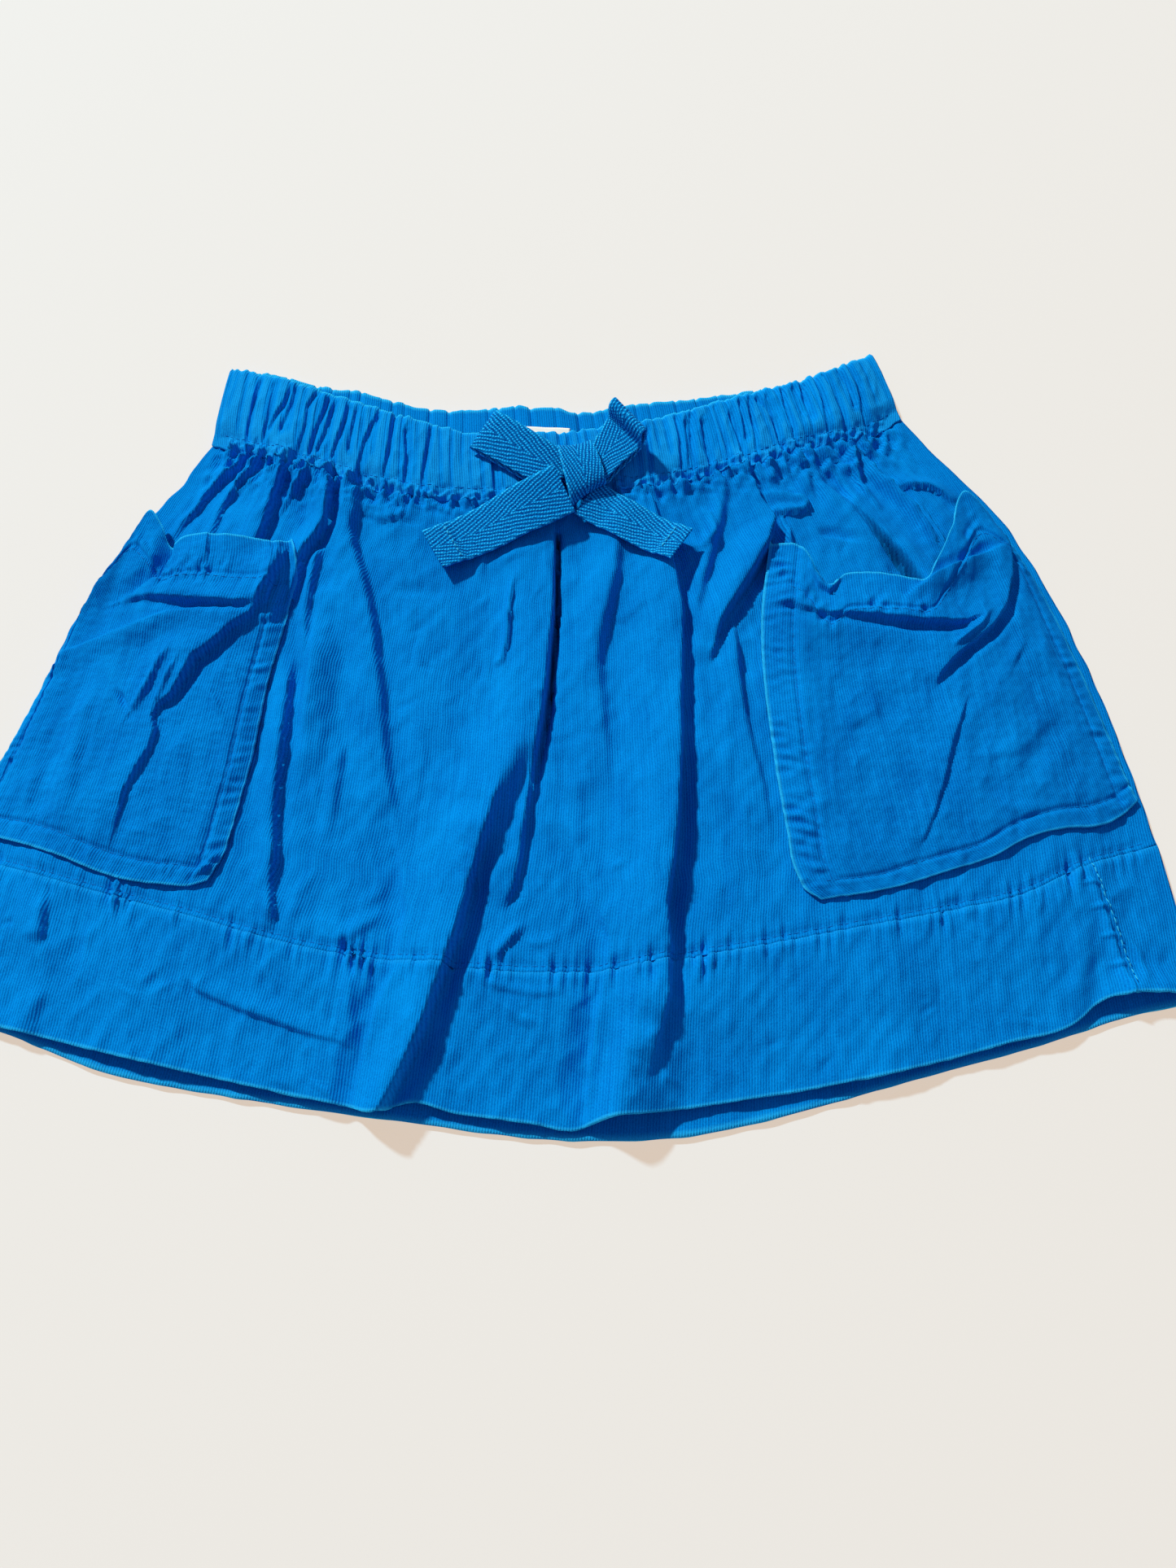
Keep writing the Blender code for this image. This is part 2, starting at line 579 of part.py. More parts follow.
def build_bow():
    """Twill tape bow on the front of the waistband."""
    def tape(name):
        return make_material(name, TAPE_BLUE, 0.85)

    return [
        knot("bow_knot", tape("knot_twill")),
        loop("bow_loop_left", LEFT_LOOP_START, LEFT_LOOP_HEADING, LEFT_LOOP, tape("loop_left_twill")),
        loop("bow_loop_right", RIGHT_LOOP_START, RIGHT_LOOP_HEADING, RIGHT_LOOP, tape("loop_right_twill")),
        tail("bow_tail_left", LEFT_TAIL, tape("tail_left_twill")),
        tail("bow_tail_right", RIGHT_TAIL, tape("tail_right_twill")),
    ]


def build_label():
    """Blank label on the inside of the back waistband."""
    half = LABEL_WIDTH / 2
    x = np.array([[-half, half], [-half, half]]) + LABEL_MIDDLE[0]
    y = np.array([[1.0, 1.0], [-1.0, -1.0]]) * LABEL_LENGTH / 2 + LABEL_MIDDLE[1]
    low = BAND_CLOTH + BACK_PUCKER_HEIGHT + SIDE_LIFT
    return flat_sheet("label", x, y, low, low + LABEL_THICK, make_material("label_satin", LABEL_WHITE, 0.5))


def main():
    for item in list(bpy.data.objects):
        bpy.data.objects.remove(item, do_unlink=True)

    def cloth(name):
        return make_material(name, CORD_BLUE, 0.9)

    items = build_panels(cloth) + build_waistband(cloth) + build_pockets(cloth) + build_bow()
    items.append(build_label())
    place_on_origin(items)


main()
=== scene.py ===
"""Looks of a child's corduroy skirt laid flat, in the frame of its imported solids."""
import math

import bpy
import numpy as np
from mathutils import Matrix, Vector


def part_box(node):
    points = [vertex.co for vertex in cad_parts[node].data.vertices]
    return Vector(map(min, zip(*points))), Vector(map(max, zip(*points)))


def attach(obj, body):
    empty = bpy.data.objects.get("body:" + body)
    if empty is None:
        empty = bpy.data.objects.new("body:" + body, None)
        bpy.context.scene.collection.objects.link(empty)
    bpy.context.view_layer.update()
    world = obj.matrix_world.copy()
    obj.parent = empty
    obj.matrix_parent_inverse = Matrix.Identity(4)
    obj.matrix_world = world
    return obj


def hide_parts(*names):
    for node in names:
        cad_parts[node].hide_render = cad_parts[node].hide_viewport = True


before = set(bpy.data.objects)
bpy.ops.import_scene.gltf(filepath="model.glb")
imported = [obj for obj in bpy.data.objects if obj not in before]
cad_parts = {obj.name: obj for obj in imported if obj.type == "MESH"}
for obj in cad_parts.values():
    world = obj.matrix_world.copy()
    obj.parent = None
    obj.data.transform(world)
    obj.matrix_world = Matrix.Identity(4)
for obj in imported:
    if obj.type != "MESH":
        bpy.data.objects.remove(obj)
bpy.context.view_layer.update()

# Sizes in millimetres, in the plan that the solids are drawn in; MM turns them into metres
MM = 0.001
WALE = 0.907
CLOTH = 1.2
HEM_CLOTH = 1.4
BAND_CLOTH = 2.0
POCKET_CLOTH = 1.3
SINGLE_CLOTH = 0.8
DOUBLE_CLOTH = 1.1
TAPE_THICKNESS = 0.7
TAPE_WIDTH = 15.5
SIDE_LIFT = 0.3
LAYER_GAP = 0.35

PANEL_LIFT = 7.6
PANEL_SIDE_RISE = 40.0
FOLD_SIDE_RISE = 9.0
SEAM_SWELL = 1.2
SEAM_SWELL_REACH = 26.0
BAND_LIFT_SEAM = 8.6
BAND_LIFT_TOP = 7.9
BAND_SIDE_RISE = 34.0
BACK_PUCKER_HEIGHT = 0.4
BAND_DEPTH = 34.0
BAND_LENGTH = 265.0
HEM_DEPTH = 48.0
SIDE_LENGTH = 180.0
SIDE_WAVE = 0.45
POCKET_WIDTH = 108.0
POCKET_DEPTH = 128.0
GROOVE_DEPTH = 0.8
GROOVE_WIDTH = 0.9
LABEL_HALF = 9.0
LABEL_TOP = 114.3
LABEL_LOW = 90.0

# Shares and counts: the valley beyond a fold in widths of its second flank, how far the lift falls
# towards the hem, how much of the widest row's rib spacing every row keeps, how the label slopes,
# and the waves in a noise
VALLEY_REACH = 4.2
VALLEY_MIDDLE = 1.7
VALLEY_WIDTH = 2.4
HEM_FALL = 0.62
RIB_FAN = 0.6
LABEL_SLOPE = 0.06
WAVE_COUNT = 12

# Seam and edge lines seen from above: x, y
WAIST_SEAM = [
    (-128, 106), (-107, 97), (-94, 92), (-82, 88), (-69, 83), (-57, 80), (-45, 78), (-33, 77), (-10, 77),
    (10, 78), (27, 81), (52, 85), (76, 92), (101, 101), (113, 104), (125, 109), (137, 118),
]
FRONT_TOP_EDGE = [
    (-124, 141), (-115, 138), (-105, 134), (-86, 126), (-73, 121.4), (-60, 116.8), (-47, 112.2),
    (-35, 108), (-28, 106.4), (-10, 107.4), (9, 107.4), (21, 109.4), (40, 113), (53, 117), (65, 121),
    (78, 125), (91, 129), (104, 134), (117, 141), (127, 147),
]
BACK_TOP_EDGE = [
    (-124, 141), (-103, 138), (-87, 133), (-74, 131), (-61, 127), (-48, 123), (-35, 122), (-10, 124),
    (3, 123), (15, 121), (28, 124), (53, 127), (66, 129), (92, 133), (104, 136), (117, 142), (127, 147),
]
BACK_WAIST_SEAM = [(-128, 106), (-100, 100), (-60, 94), (0, 90), (60, 95), (104, 106), (137, 118)]
HEM_SEAM = [
    (-200, -57), (-178, -63), (-150, -71), (-112, -81), (-79, -90), (-34, -97), (15, -99), (57, -93),
    (101, -85), (133, -79), (156, -74), (181, -63), (207, -55),
]
FRONT_HEM = [
    (-213, -107), (-170, -116), (-127, -126), (-85, -135), (-60, -140), (-47, -142), (-43.5, -140),
    (-24, -142.6), (-2, -145.4), (13, -147.2), (18.5, -145), (35, -142.6), (55, -139.7), (86, -135),
    (117, -129), (148, -121), (172, -113.5), (178, -108.5), (190, -105.6), (213, -106),
]
BACK_HEM = [
    (-213, -108), (-171, -117), (-138, -129), (-96, -137), (-45, -144), (10, -150), (46, -149),
    (76, -143), (118, -132), (160, -121), (193, -111), (213, -107),
]
BACK_HEM_SEAM = [(-200, -58), (-150, -75), (-79, -93), (0, -103), (57, -99), (133, -82), (207, -56)]

# Side seam on the front hem band, from its foot up: y, x
SIDE_SEAM = [(-105, 188.9), (-93, 187.1), (-82, 184.6), (-73, 182.5), (-60, 180.4)]

# Side outline: share of the way from waist seam to hem seam, left x, right x
SIDES = [
    (0, -128, 137), (0.08, -134, 146), (0.16, -143, 157), (0.24, -152, 167.5), (0.34, -160, 176.5),
    (0.46, -168.5, 185), (0.58, -174.5, 191.5), (0.7, -180.5, 197), (0.84, -188.5, 202), (1, -200, 207),
]

# A fold is its crest, as rows of x, y and height, then the widths of its two flanks and how far the
# valley beyond the second flank sinks, as a share of the height. Where the crest runs down the skirt,
# the first flank is on the left and the second on the right
MAIN_FOLDS = [
    ([(3.7, 62.6, 2.2), (3.6, 48.7, 2.6), (3.5, 32, 3), (2, 15.5, 3.8), (1.3, 2.8, 4.6),
      (-0.4, -12.6, 5.4), (-2.5, -27.1, 4.6), (-5.1, -47.1, 3.8), (-6.7, -63.8, 3.2), (-8.9, -73.1, 2.2),
      (-13.1, -80, 0)], 27, 1.2, 0.3),
    ([(26.2, 62, 3.2), (25.2, 45.9, 4), (22.2, 32.6, 3.9), (19, 18.2, 3.5), (18.4, 8.8, 3),
      (19.8, -4.9, 2.1), (20.8, -22.9, 1.2), (21.9, -40.3, 0)], 12, 4, 0.2),
    ([(42.5, 66, 3.4), (47.2, 44.8, 5.4), (49.1, 31.2, 5.8), (48.7, 15.3, 5.6), (47.8, -3.9, 6),
      (47.1, -25.4, 7.6), (45.6, -48.7, 8.8), (43.3, -65.3, 8.8), (41, -78.5, 7.6), (42.1, -91.3, 6.4),
      (41.2, -106.7, 6), (37.8, -119.2, 3.8), (34.8, -129, 1.2), (33, -134, 0)], 24, 1.6, 0.28),
    ([(38, -96, 0), (33, -112, 3), (29, -126, 6.5), (26, -138, 9), (24, -150, 10)], 9, 21, 0.1),
    ([(-3.6, -16, 0), (-9, -27, 3.4), (-14.6, -38, 4.6), (-17.6, -52, 3), (-22, -68, 0)], 26, 7, 0.1),
    ([(-12.2, -34, 0), (-15.2, -44, 2.4), (-18.1, -55, 5.8), (-23.1, -72.9, 8), (-26.6, -88.2, 7.4),
      (-31.4, -103.6, 6.2), (-36.4, -118.5, 5), (-42.4, -131.9, 4), (-47.6, -141.8, 3.2),
      (-50.6, -149, 2.8)], 30, 1.7, 0.25),
    ([(-23.1, -72.9, 0), (-26.6, -88.2, 1.4), (-31.4, -103.6, 2.6), (-36.4, -118.5, 3.8),
      (-42.4, -131.9, 4.8), (-47.6, -141.8, 5.4), (-50.6, -149, 5.6)], 12, 1.6, 0.1),
    ([(74.5, 92, 2.6), (79.2, 76, 4.4), (84.2, 66.4, 5.6), (81, 56.4, 6.2), (75.8, 46.8, 6.6),
      (71.2, 39, 6.2), (65.4, 30, 5.4), (62.3, 24.5, 4.4), (59.8, 15, 2.4), (57, 8, 0)], 14, 1.4, 0.4),
    ([(-70.2, 84, 2.6), (-70.7, 72.4, 4), (-71.5, 63.6, 4.2), (-69.8, 55, 4.4), (-66.1, 44.8, 4.4),
      (-63.3, 35, 4.2), (-60.9, 25.3, 4), (-59.1, 12.7, 3.6), (-56.5, -2.2, 3.2), (-54.3, -20.5, 3),
      (-51.7, -36.5, 2.2), (-48.6, -47.5, 0)], 14, 3.4, 0.3),
    ([(-78, 46, 0), (-79, 30, 3), (-80, 10, 5), (-80, -8, 4.5), (-79, -22, 2.2),
      (-78, -34, 0)], 5, 12, 0),
    ([(-52, -40, 0), (-49.1, -55.1, -1.2), (-46.2, -69, -2), (-44.4, -80.7, -2.4), (-46.8, -98.9, -2.4),
      (-52.5, -111.1, -2.6), (-55.4, -124.3, -2.8), (-57.6, -139.2, -2.8), (-58.4, -150, -2.6)], 8, 2.2),
    ([(-79.3, 88, 3.4), (-79.4, 80.7, 5), (-79.4, 73.2, 5.8), (-80, 66.3, 5.6), (-82.5, 60.5, 5.2),
      (-86.3, 55.8, 4.4), (-88.3, 51.8, 3.4), (-88.6, 45.5, 2.6), (-90.3, 35.6, 2.2)], 9, 1.2, 0.45),
    ([(-80.5, 58, 0), (-82.6, 52.3, 2.4), (-83.7, 43.8, 2.6), (-84.2, 31.5, 2.4), (-83.9, 19.5, 2),
      (-84, 2, 0)], 3.5, 2.2, 0.4),
    ([(-87.4, 17.7, 0), (-88, -2.1, 2.4), (-88.4, -17.7, 3.4), (-88.8, -31, 3.4), (-88.7, -46.9, 3.2),
      (-87.2, -59.6, 3.4), (-88, -69.2, 2.8), (-86.1, -82.3, 1)], 9, 1.5, 0.35),
    ([(-97.6, 100, 1.8), (-98.5, 89.6, 2.8), (-100.2, 81.1, 3.5), (-101.5, 72.1, 3.9),
      (-103.4, 63.7, 3.6), (-105.5, 57.3, 3), (-106.8, 50.9, 2.2)], 12, 1.3, 0.45),
    ([(-105.5, 102, 1.6), (-107.2, 98.5, 2), (-110.3, 90.5, 2.6), (-115, 85.2, 2.6), (-118.2, 79.1, 2.2),
      (-120.6, 73.2, 1.8), (-122, 64.7, 1.4), (-122.5, 58, 0.6)], 5, 1.2, 0.4),
    ([(-111, 103, 1.2), (-113.3, 100, 1.8), (-116.9, 93.3, 2.6), (-123.1, 88.4, 2.6),
      (-127.1, 82.4, 2.2), (-129.5, 76.4, 1.8), (-134.2, 70.5, 1.2), (-137, 64, 0.6)], 4, 1.2, 0.5),
    ([(66.3, 32, 0), (68, 16.6, 2.6), (68.3, 3.9, 3), (69.5, -8.9, 2.4), (72.1, -24.6, 1.6),
      (74.8, -37.1, 1.2), (75.8, -49.1, 0.8), (76.8, -63, 0)], 12, 1.6, 0.3),
    ([(66.3, 82, 1.6), (64.3, 69.4, 2.6), (61.7, 60.5, 3), (58.3, 47.8, 3), (54.3, 33.9, 2),
      (52.5, 22, 0)], 5, 3, 0.2),
    ([(116.5, 100, 2.4), (115.8, 90.4, 3), (117.5, 83.2, 3), (121.5, 76.6, 1.6),
      (124.5, 71, 0)], 1.6, 2.6, 0.2),
    ([(121.5, 96, 2.4), (123.9, 89, 4.2), (130.4, 81.2, 4.6), (135.9, 74, 4), (140.1, 66.5, 3),
      (142.5, 60, 1.4)], 5, 1.4, 0.3),
    ([(110.4, 84, 0), (114.6, 74.9, 2.6), (120.2, 65.6, 4.2), (125.4, 57.6, 5), (129.2, 52.8, 5.4),
      (132.7, 46.6, 5.4), (136.4, 39.4, 5.2)], 1.9, 13, 0),
    ([(96.3, 94, 1.4), (101.3, 83.3, 2.8), (109.2, 75.5, 3.4), (115.4, 67, 3.4), (120.5, 58, 2.8),
      (123.5, 50, 1.2)], 12, 5, 0.4),
    ([(137, 80, 0), (140.6, 73.4, 1.4), (144, 66.8, 2), (146.2, 60.6, 2), (147.6, 52, 1)], 6, 1.2, 0.35),
]

# Smaller folds and creases, in the same form without the valley; a negative height is a trough
SMALL_FOLDS = [
    ([(103, 98, -1), (104.4, 94.6, -1.6), (108, 86.5, -2.2), (112, 80, -1.6), (114.5, 75, 0)], 5, 1.3),
    ([(98.2, 96, -1), (99.9, 84.7, -1.6), (100.9, 77.6, -1.2), (102.7, 70.5, 0)], 2, 3),
    ([(100, 61.8, 0), (104.5, 61.8, -1.6), (110, 60, -1.4), (117, 57.4, 0)], 1.2, 4),
    ([(55.7, 74, 0), (60.7, 69.8, 1.8), (62.6, 61, 2.2), (57.2, 56, 1.8), (50.7, 56.5, 0.6)], 6, 1.6),
    ([(-100.7, 100, 1), (-106, 91.1, 1.8), (-110, 85.7, 1.8), (-114.3, 82.3, 1.4),
      (-117.2, 79.3, 0)], 2, 1.2),
    ([(-84, 96, 1), (-86.6, 93.2, 1.6), (-89.6, 86.4, 2.4), (-93.5, 79.2, 2.6), (-96.4, 73.3, 1.8),
      (-98.1, 68.8, 0)], 2.6, 1.2),
    ([(-96.1, 98.4, 1.6), (-96.1, 91, 2), (-92.1, 87.5, 1.8), (-88.3, 84.7, 0)], 2, 1.4),
    ([(-70.3, 76, 0), (-65.3, 70.9, 1.4), (-59.1, 68, 2), (-53.3, 69.1, 1.6), (-50.6, 73.2, 0)], 1.4, 7),
    ([(84, 80, 1), (90.1, 78.6, 2.6), (95.2, 77, 3.2), (97.4, 74.4, 3.2), (95.4, 71.6, 3),
      (91.3, 71, 2.8), (86.5, 71, 2)], 6, 1.1),
    ([(85.4, 72.5, 1.5), (87.7, 67.8, 2.4), (89.6, 62.6, 2.4), (89.8, 55, 1.8)], 2.2, 1.2),
    ([(154, 77.4, 0), (151.4, 80.1, 2.2), (147.5, 83, 3), (143, 84.7, 3), (136.3, 84.4, 2.6),
      (130, 83.6, 1)], 7, 1),
    ([(-67.7, -16.6, 0), (-68.3, -27.5, 1.6), (-68.8, -39.3, 1.8), (-69.8, -49.2, 1),
      (-71.1, -57.4, 0)], 5, 2.4),
    ([(-10.2, 46.2, 0), (-11.9, 33.9, 2.6), (-12.6, 17.3, 2.6), (-14.2, 9.7, 1.6),
      (-17.6, 8.2, 0)], 2.2, 0.9),
    ([(-7, -16.6, 0), (-4.5, -28.6, -1.6), (-6.5, -38.8, -2.4), (-9.5, -51.8, -1.6),
      (-11.3, -65.8, 0)], 4, 4),
    ([(-16, 60, 0), (-30, 52, -0.7), (-42, 50, 0)], 3, 5),
    ([(-24, 64, 0), (-22, 52, 0.9), (-23, 44, 0)], 3, 2),
    ([(-58.4, 40.6, 0), (-48.9, 38.6, -0.8), (-37.2, 37.9, -0.6), (-28.6, 39.9, 0)], 3, 5),
    ([(-68.8, -87.5, 0), (-60.2, -87.3, 1.6), (-54, -83, 1.6), (-50.5, -78.1, 0)], 2.6, 6),
    ([(-3.5, -82.7, 0), (-8.1, -87.8, 2.4), (-12.2, -92.5, 2), (-14.7, -96, 0)], 4, 1.2),
    ([(-88.1, -71.3, 0), (-86.2, -78.5, 2), (-86.6, -83.5, 0)], 5, 1.4),
    ([(-160.7, -71.3, 0), (-160.3, -79.4, 2.2), (-160, -86.1, 2.2), (-160.8, -90.2, 0)], 9, 2),
    ([(-157, -100.7, 0), (-159.7, -109.1, 1.6), (-161.1, -116.7, 1.2)], 8, 4),
    ([(-111.7, -99.6, 0), (-107.8, -104.4, 1.3), (-101.8, -107.1, 1.7), (-91.6, -111.2, 1.9),
      (-81.1, -114.7, 1.7), (-70.7, -118.2, 1.4), (-62.5, -120.1, 0.8), (-55.3, -123.5, 0)], 1.4, 7),
    ([(-58.8, -95.4, 0), (-59.7, -108.6, 1.6), (-56.7, -123.7, 1.2), (-57.5, -135.8, 0)], 5, 3),
    ([(8, -48, 0), (11.7, -60.4, -1), (15.9, -75, -1.8), (21.4, -87.8, -2.4), (20, -100.2, -2.6),
      (17.2, -113.8, -2.8), (15.2, -129.6, -2.6), (14.6, -146.1, -1.5)], 9, 1.9),
    ([(180.8, -63.7, 0.6), (182.5, -72.8, 1.4), (184.6, -82.3, 1.8), (187.1, -93, 1.8),
      (188.9, -104.4, 1.4)], 2.6, 0.9),
    ([(176, -70.5, 0), (181, -69, 0.9), (187, -70.5, 0)], 1.2, 1.6),
    ([(178, -78.5, 0), (184, -77, 1.1), (190, -79.5, 0)], 1.2, 1.8),
    ([(180, -87.5, 0), (186, -86.5, 0.9), (191, -88.5, 0)], 1.2, 1.6),
    ([(181, -97, 0), (188, -95.5, 1.2), (194, -98, 0)], 1.4, 1.8),
    ([(191.1, -86.5, 0), (193.9, -91.7, 1.4), (195, -98.2, 1.2), (194.7, -102.2, 0)], 3, 1.2),
    ([(175.9, -79.5, 0), (175.4, -90.4, 1.6), (174.3, -100.9, 1.6), (168.3, -113.5, 0)], 6, 5),
    ([(136.1, -82.2, 0), (143.2, -87.7, 0.8), (145.7, -94.1, 0)], 3, 3),
    ([(-15.4, -107.1, 0), (-5, -113.6, 0.8), (4.2, -116.5, 0)], 3, 2),
    ([(-5.5, -88.8, 0), (0.8, -90.3, 1), (7.5, -87.5, 0)], 2, 3),
    ([(-22, -100, 0), (-12, -104, 0.8), (0, -106, 0.7), (12, -105, 0)], 2, 3),
    ([(-150, -78, 0), (-148, -90, -0.9), (-150, -100, 0)], 5, 4),
    ([(100, -86, 0), (104, -105, 1.2), (108, -133, 1.6)], 22, 24),
    ([(-128, -80, 0), (-126, -105, 1.4), (-124, -129, 1.6)], 24, 22),
    ([(176, -113, 0), (190, -106, 4.2), (204, -106, 4.4), (213, -108, 3)], 12, 12),
    ([(62, 0, 0), (64, -22, 0.8), (62, -44, 0)], 5, 3),
    ([(-38, -8, 0), (-42, -34, 0.8), (-44, -60, 0)], 7, 4),
    ([(30, -22, 0), (28, -50, 1.2), (24, -74, 0)], 7, 5),
    ([(14, -16, 0), (12, -46, 0.9), (10, -76, 0)], 6, 5),
    ([(-70, -60, 0), (-78, -74, 1.1), (-80, -86, 0)], 4, 2.4),
    ([(-46, -60, 0), (-52, -74, 0.9), (-60, -80, 0)], 5, 3),
    ([(54, -56, 0), (58, -72, 0.8), (56, -88, 0)], 4, 4),
]

# Troughs under the edges of the centre pleat and of a narrow fold beside the right pocket, in the form of
# the smaller folds; the front's colour is also darkened over them as painted shade
GAPS = [
    ([(5, 62, -5), (5, 46, -6.5), (5.2, 30, -7), (4.2, 14, -6.6), (3.3, 0, -5), (1.4, -16, -2.6),
      (-1.4, -34, -0.8)], 1.3, 1.4),
    ([(113, 75.6, 0), (118.6, 65.9, -2), (124, 57.6, -3.2), (127.8, 52.6, -3.6), (131.4, 46.2, -3.4),
      (134.6, 39.6, -3)], 2.4, 2.2),
]
# Trough depth in millimetres at which the painted shade over the gaps is full
GAP_SHADE_DEPTH = 5.0

# Crumpled lumps along the waist seam: x, y, radius, height
LUMPS = [
    (-127.3, 91.2, 3.1, 1.6), (-122, 91.2, 3.6, 2), (-119.3, 102.1, 3.6, 2), (-114.4, 105.8, 2.8, 1.2),
    (-110, 100.2, 3.2, 2.2), (-104.6, 99.3, 2.8, 1.8), (-101, 102.1, 2.6, 1.6), (-99.6, 94.8, 3.1, 2.4),
    (-96, 97.5, 2.4, 2), (-92.8, 91.2, 2.7, 2), (-88.9, 94.8, 2.6, 1.8), (-86.1, 88.5, 3.1, 2.2),
    (-81.6, 88.5, 3.1, 2.4), (-76.7, 84, 2.8, 1.8), (-72.2, 84, 3.1, 2), (-67.4, 80.4, 2.8, 1.4),
    (-63.9, 84, 2.8, 1.6), (-59.1, 79.5, 2.8, 1.4), (-53.5, 76.4, 2.8, 1), (-48.4, 76.9, 2.8, 1),
    (-41.7, 77.5, 3.1, 0.9), (-34.8, 76.3, 3.1, 0.9), (-28.8, 76, 3.1, 0.9), (31.5, 81, 3, 1.5),
    (37.8, 80.5, 3.2, 1.7), (44.5, 82, 3.6, 1.9), (51.6, 82.7, 3.2, 1.7), (57.3, 81.5, 3, 1.9),
    (63.4, 84.1, 3.2, 1.9), (68.9, 87.6, 3.2, 2.1), (75.7, 89.6, 3.2, 2.1), (78.4, 82.3, 3.4, 1.6),
    (83.5, 92.2, 3.6, 2.1), (89.3, 89.6, 2.8, 1.7), (93.8, 99.3, 2.8, 1.8), (99.1, 98.4, 3.2, 2.3),
    (104.4, 98.4, 2.7, 2.2), (105.4, 91.2, 2.6, 1.4), (111.6, 102.1, 3.4, 3), (115, 96.6, 2.8, 2.4),
    (120.3, 105.8, 3.6, 3), (123.6, 99.3, 3, 2.6), (116.8, 91.2, 2.8, 2.2), (112.3, 91.2, 3, 2.4),
    (123.7, 92.1, 2.1, 1.5), (133.1, 111.3, 4.3, 1.6), (129.3, 103, 3.6, 1.4),
]

# Creases of the front waistband between its puckers, from the top edge down: x, y
BAND_CREASES = [
    [(-111.4, 131.4), (-112.8, 121.1), (-113.7, 111.7), (-114.2, 104.3), (-115.9, 96.6)],
    [(-105.2, 128.7), (-105.4, 121.1), (-105.9, 113.6), (-107.3, 102.5)],
    [(-98.6, 124.9), (-100.2, 118.5), (-102.3, 114.7), (-104.8, 109.1)],
    [(-96.5, 126), (-97.2, 120.4), (-98.5, 113.6), (-100.2, 108.4)],
    [(-88.2, 123.8), (-90.8, 117.3), (-90.7, 109.9), (-92, 102.5), (-93.4, 94.4)],
    [(-83.3, 121.1), (-84.9, 113.6), (-86.8, 106.1), (-88.6, 95.1)],
    [(-81, 119.2), (-82.1, 113.6), (-83.1, 106.1), (-85.5, 98.1)],
    [(-75.6, 117.3), (-76.6, 109.9), (-78.2, 102.5), (-79.8, 95.1)],
    [(-72.3, 115.5), (-73.2, 106.1), (-73.9, 98.1)],
    [(-64.4, 112.8), (-66.3, 108), (-67.8, 102.5), (-69.3, 93.3), (-70.5, 85.1)],
    [(-58, 114.3), (-58.5, 106.1), (-58.9, 97), (-60.2, 83.6)],
    [(-53, 106.1), (-51.8, 95.1), (-52.1, 84.3)],
    [(-43.5, 108), (-44, 99.5), (-45.1, 89.7), (-45.8, 79.4)],
    [(-20.2, 100.6), (-19.3, 89.7), (-18.4, 78.7)],
    [(-8.8, 96), (-8.6, 86.1), (-8.1, 76.5)],
    [(38.3, 106.1), (38.7, 95.1), (39.4, 84.3)],
    [(49.2, 112.8), (50.5, 102.5), (51, 89.7)],
    [(52.8, 109.9), (53.5, 100.6), (53.8, 91.5)],
    [(54.8, 114.3), (54.7, 102.5), (55.3, 91.5), (54.7, 80.8)],
    [(59, 109.9), (60.4, 98.8), (62.2, 89.7)],
    [(64.2, 117.3), (65.4, 109.9), (67.8, 100.6), (69.4, 87.9)],
    [(69.9, 113.6), (72.1, 106.1), (73.8, 98.1)],
    [(73.6, 119.2), (74.8, 111.7), (75.4, 104.3)],
    [(77.4, 121.1), (77.6, 113.6), (79, 104.3), (79.1, 93.3), (81.1, 84.3)],
    [(80.5, 121.1), (84.9, 115.5), (86.9, 108), (89, 96.6)],
    [(84.3, 121.9), (86.5, 117.3), (88.1, 112.8)],
    [(90.1, 125.7), (91.1, 117.3), (93.4, 109.1), (93.8, 100.3)],
    [(94.4, 125.7), (95.7, 120.4), (97.2, 115.1)],
    [(97.8, 128.7), (98.3, 122.2), (100.5, 113.6)],
    [(103, 132.6), (105.4, 121.1), (106.6, 111.7), (106.9, 98.8)],
    [(106.5, 132.6), (110.3, 124.9), (112.5, 116.6), (114.1, 105.4)],
    [(112.7, 135.7), (116.4, 127.2), (117.7, 120.4)],
    [(117, 138.4), (120.4, 130.3), (121.2, 117.3), (123.4, 106.9)],
]

# Colours, as linear red, green and blue
CORD_TOP = (0.0008, 0.262, 0.760)
CORD_DEEP = (0.0002, 0.104, 0.430)
# Pale colour of worn edges, also laid a little over the front waistband outside its creases, partly as
# painted light
CORD_WORN_AND_LIT = (0.022, 0.500, 0.900)
# Painted shade for the deep gaps under fold edges
CORD_GAP_SHADE = (0.0002, 0.012, 0.060)
THREAD_BLUE = (0.0010, 0.170, 0.560)
THREAD_TAPE = (0.0300, 0.520, 0.900)
TAPE_TOP = (0.002, 0.420, 1.000)
TAPE_DEEP = (0.0001, 0.022, 0.210)
TAPE_GLINT = (0.060, 0.640, 1.000)
LABEL_WHITE = (0.86, 0.86, 0.82)
FLOOR_TINT = (0.19, 0.32, 0.46)
FLOOR_GLOW = (0.67, 0.52, 0.34)

# Colour contrasts of the corduroy, and its tone on the panels, the front bands and the pockets
RIB_CONTRAST = 0.42
STREAK_CONTRAST = 0.55
PATCH_CONTRAST = 0.9
FIBRE_CONTRAST = 1.5
PANEL_TONE = 0.43
BAND_TONE = 0.50
POCKET_TONE = 0.33

# Weave of the tape: spacing of its slanted rows and of the floats in them, in millimetres, and how far
# each moves on for a millimetre along and across
TAPE_ROW = 1.34
TAPE_FLOAT = 1.12
ROW_ALONG = 0.31
ROW_ACROSS = 0.95
FLOAT_ALONG = 0.95
FLOAT_ACROSS = -0.55

# Depth of the bump of the ribs and of the tape, in metres
RIB_BUMP = 0.00016
TAPE_BUMP = 0.00035

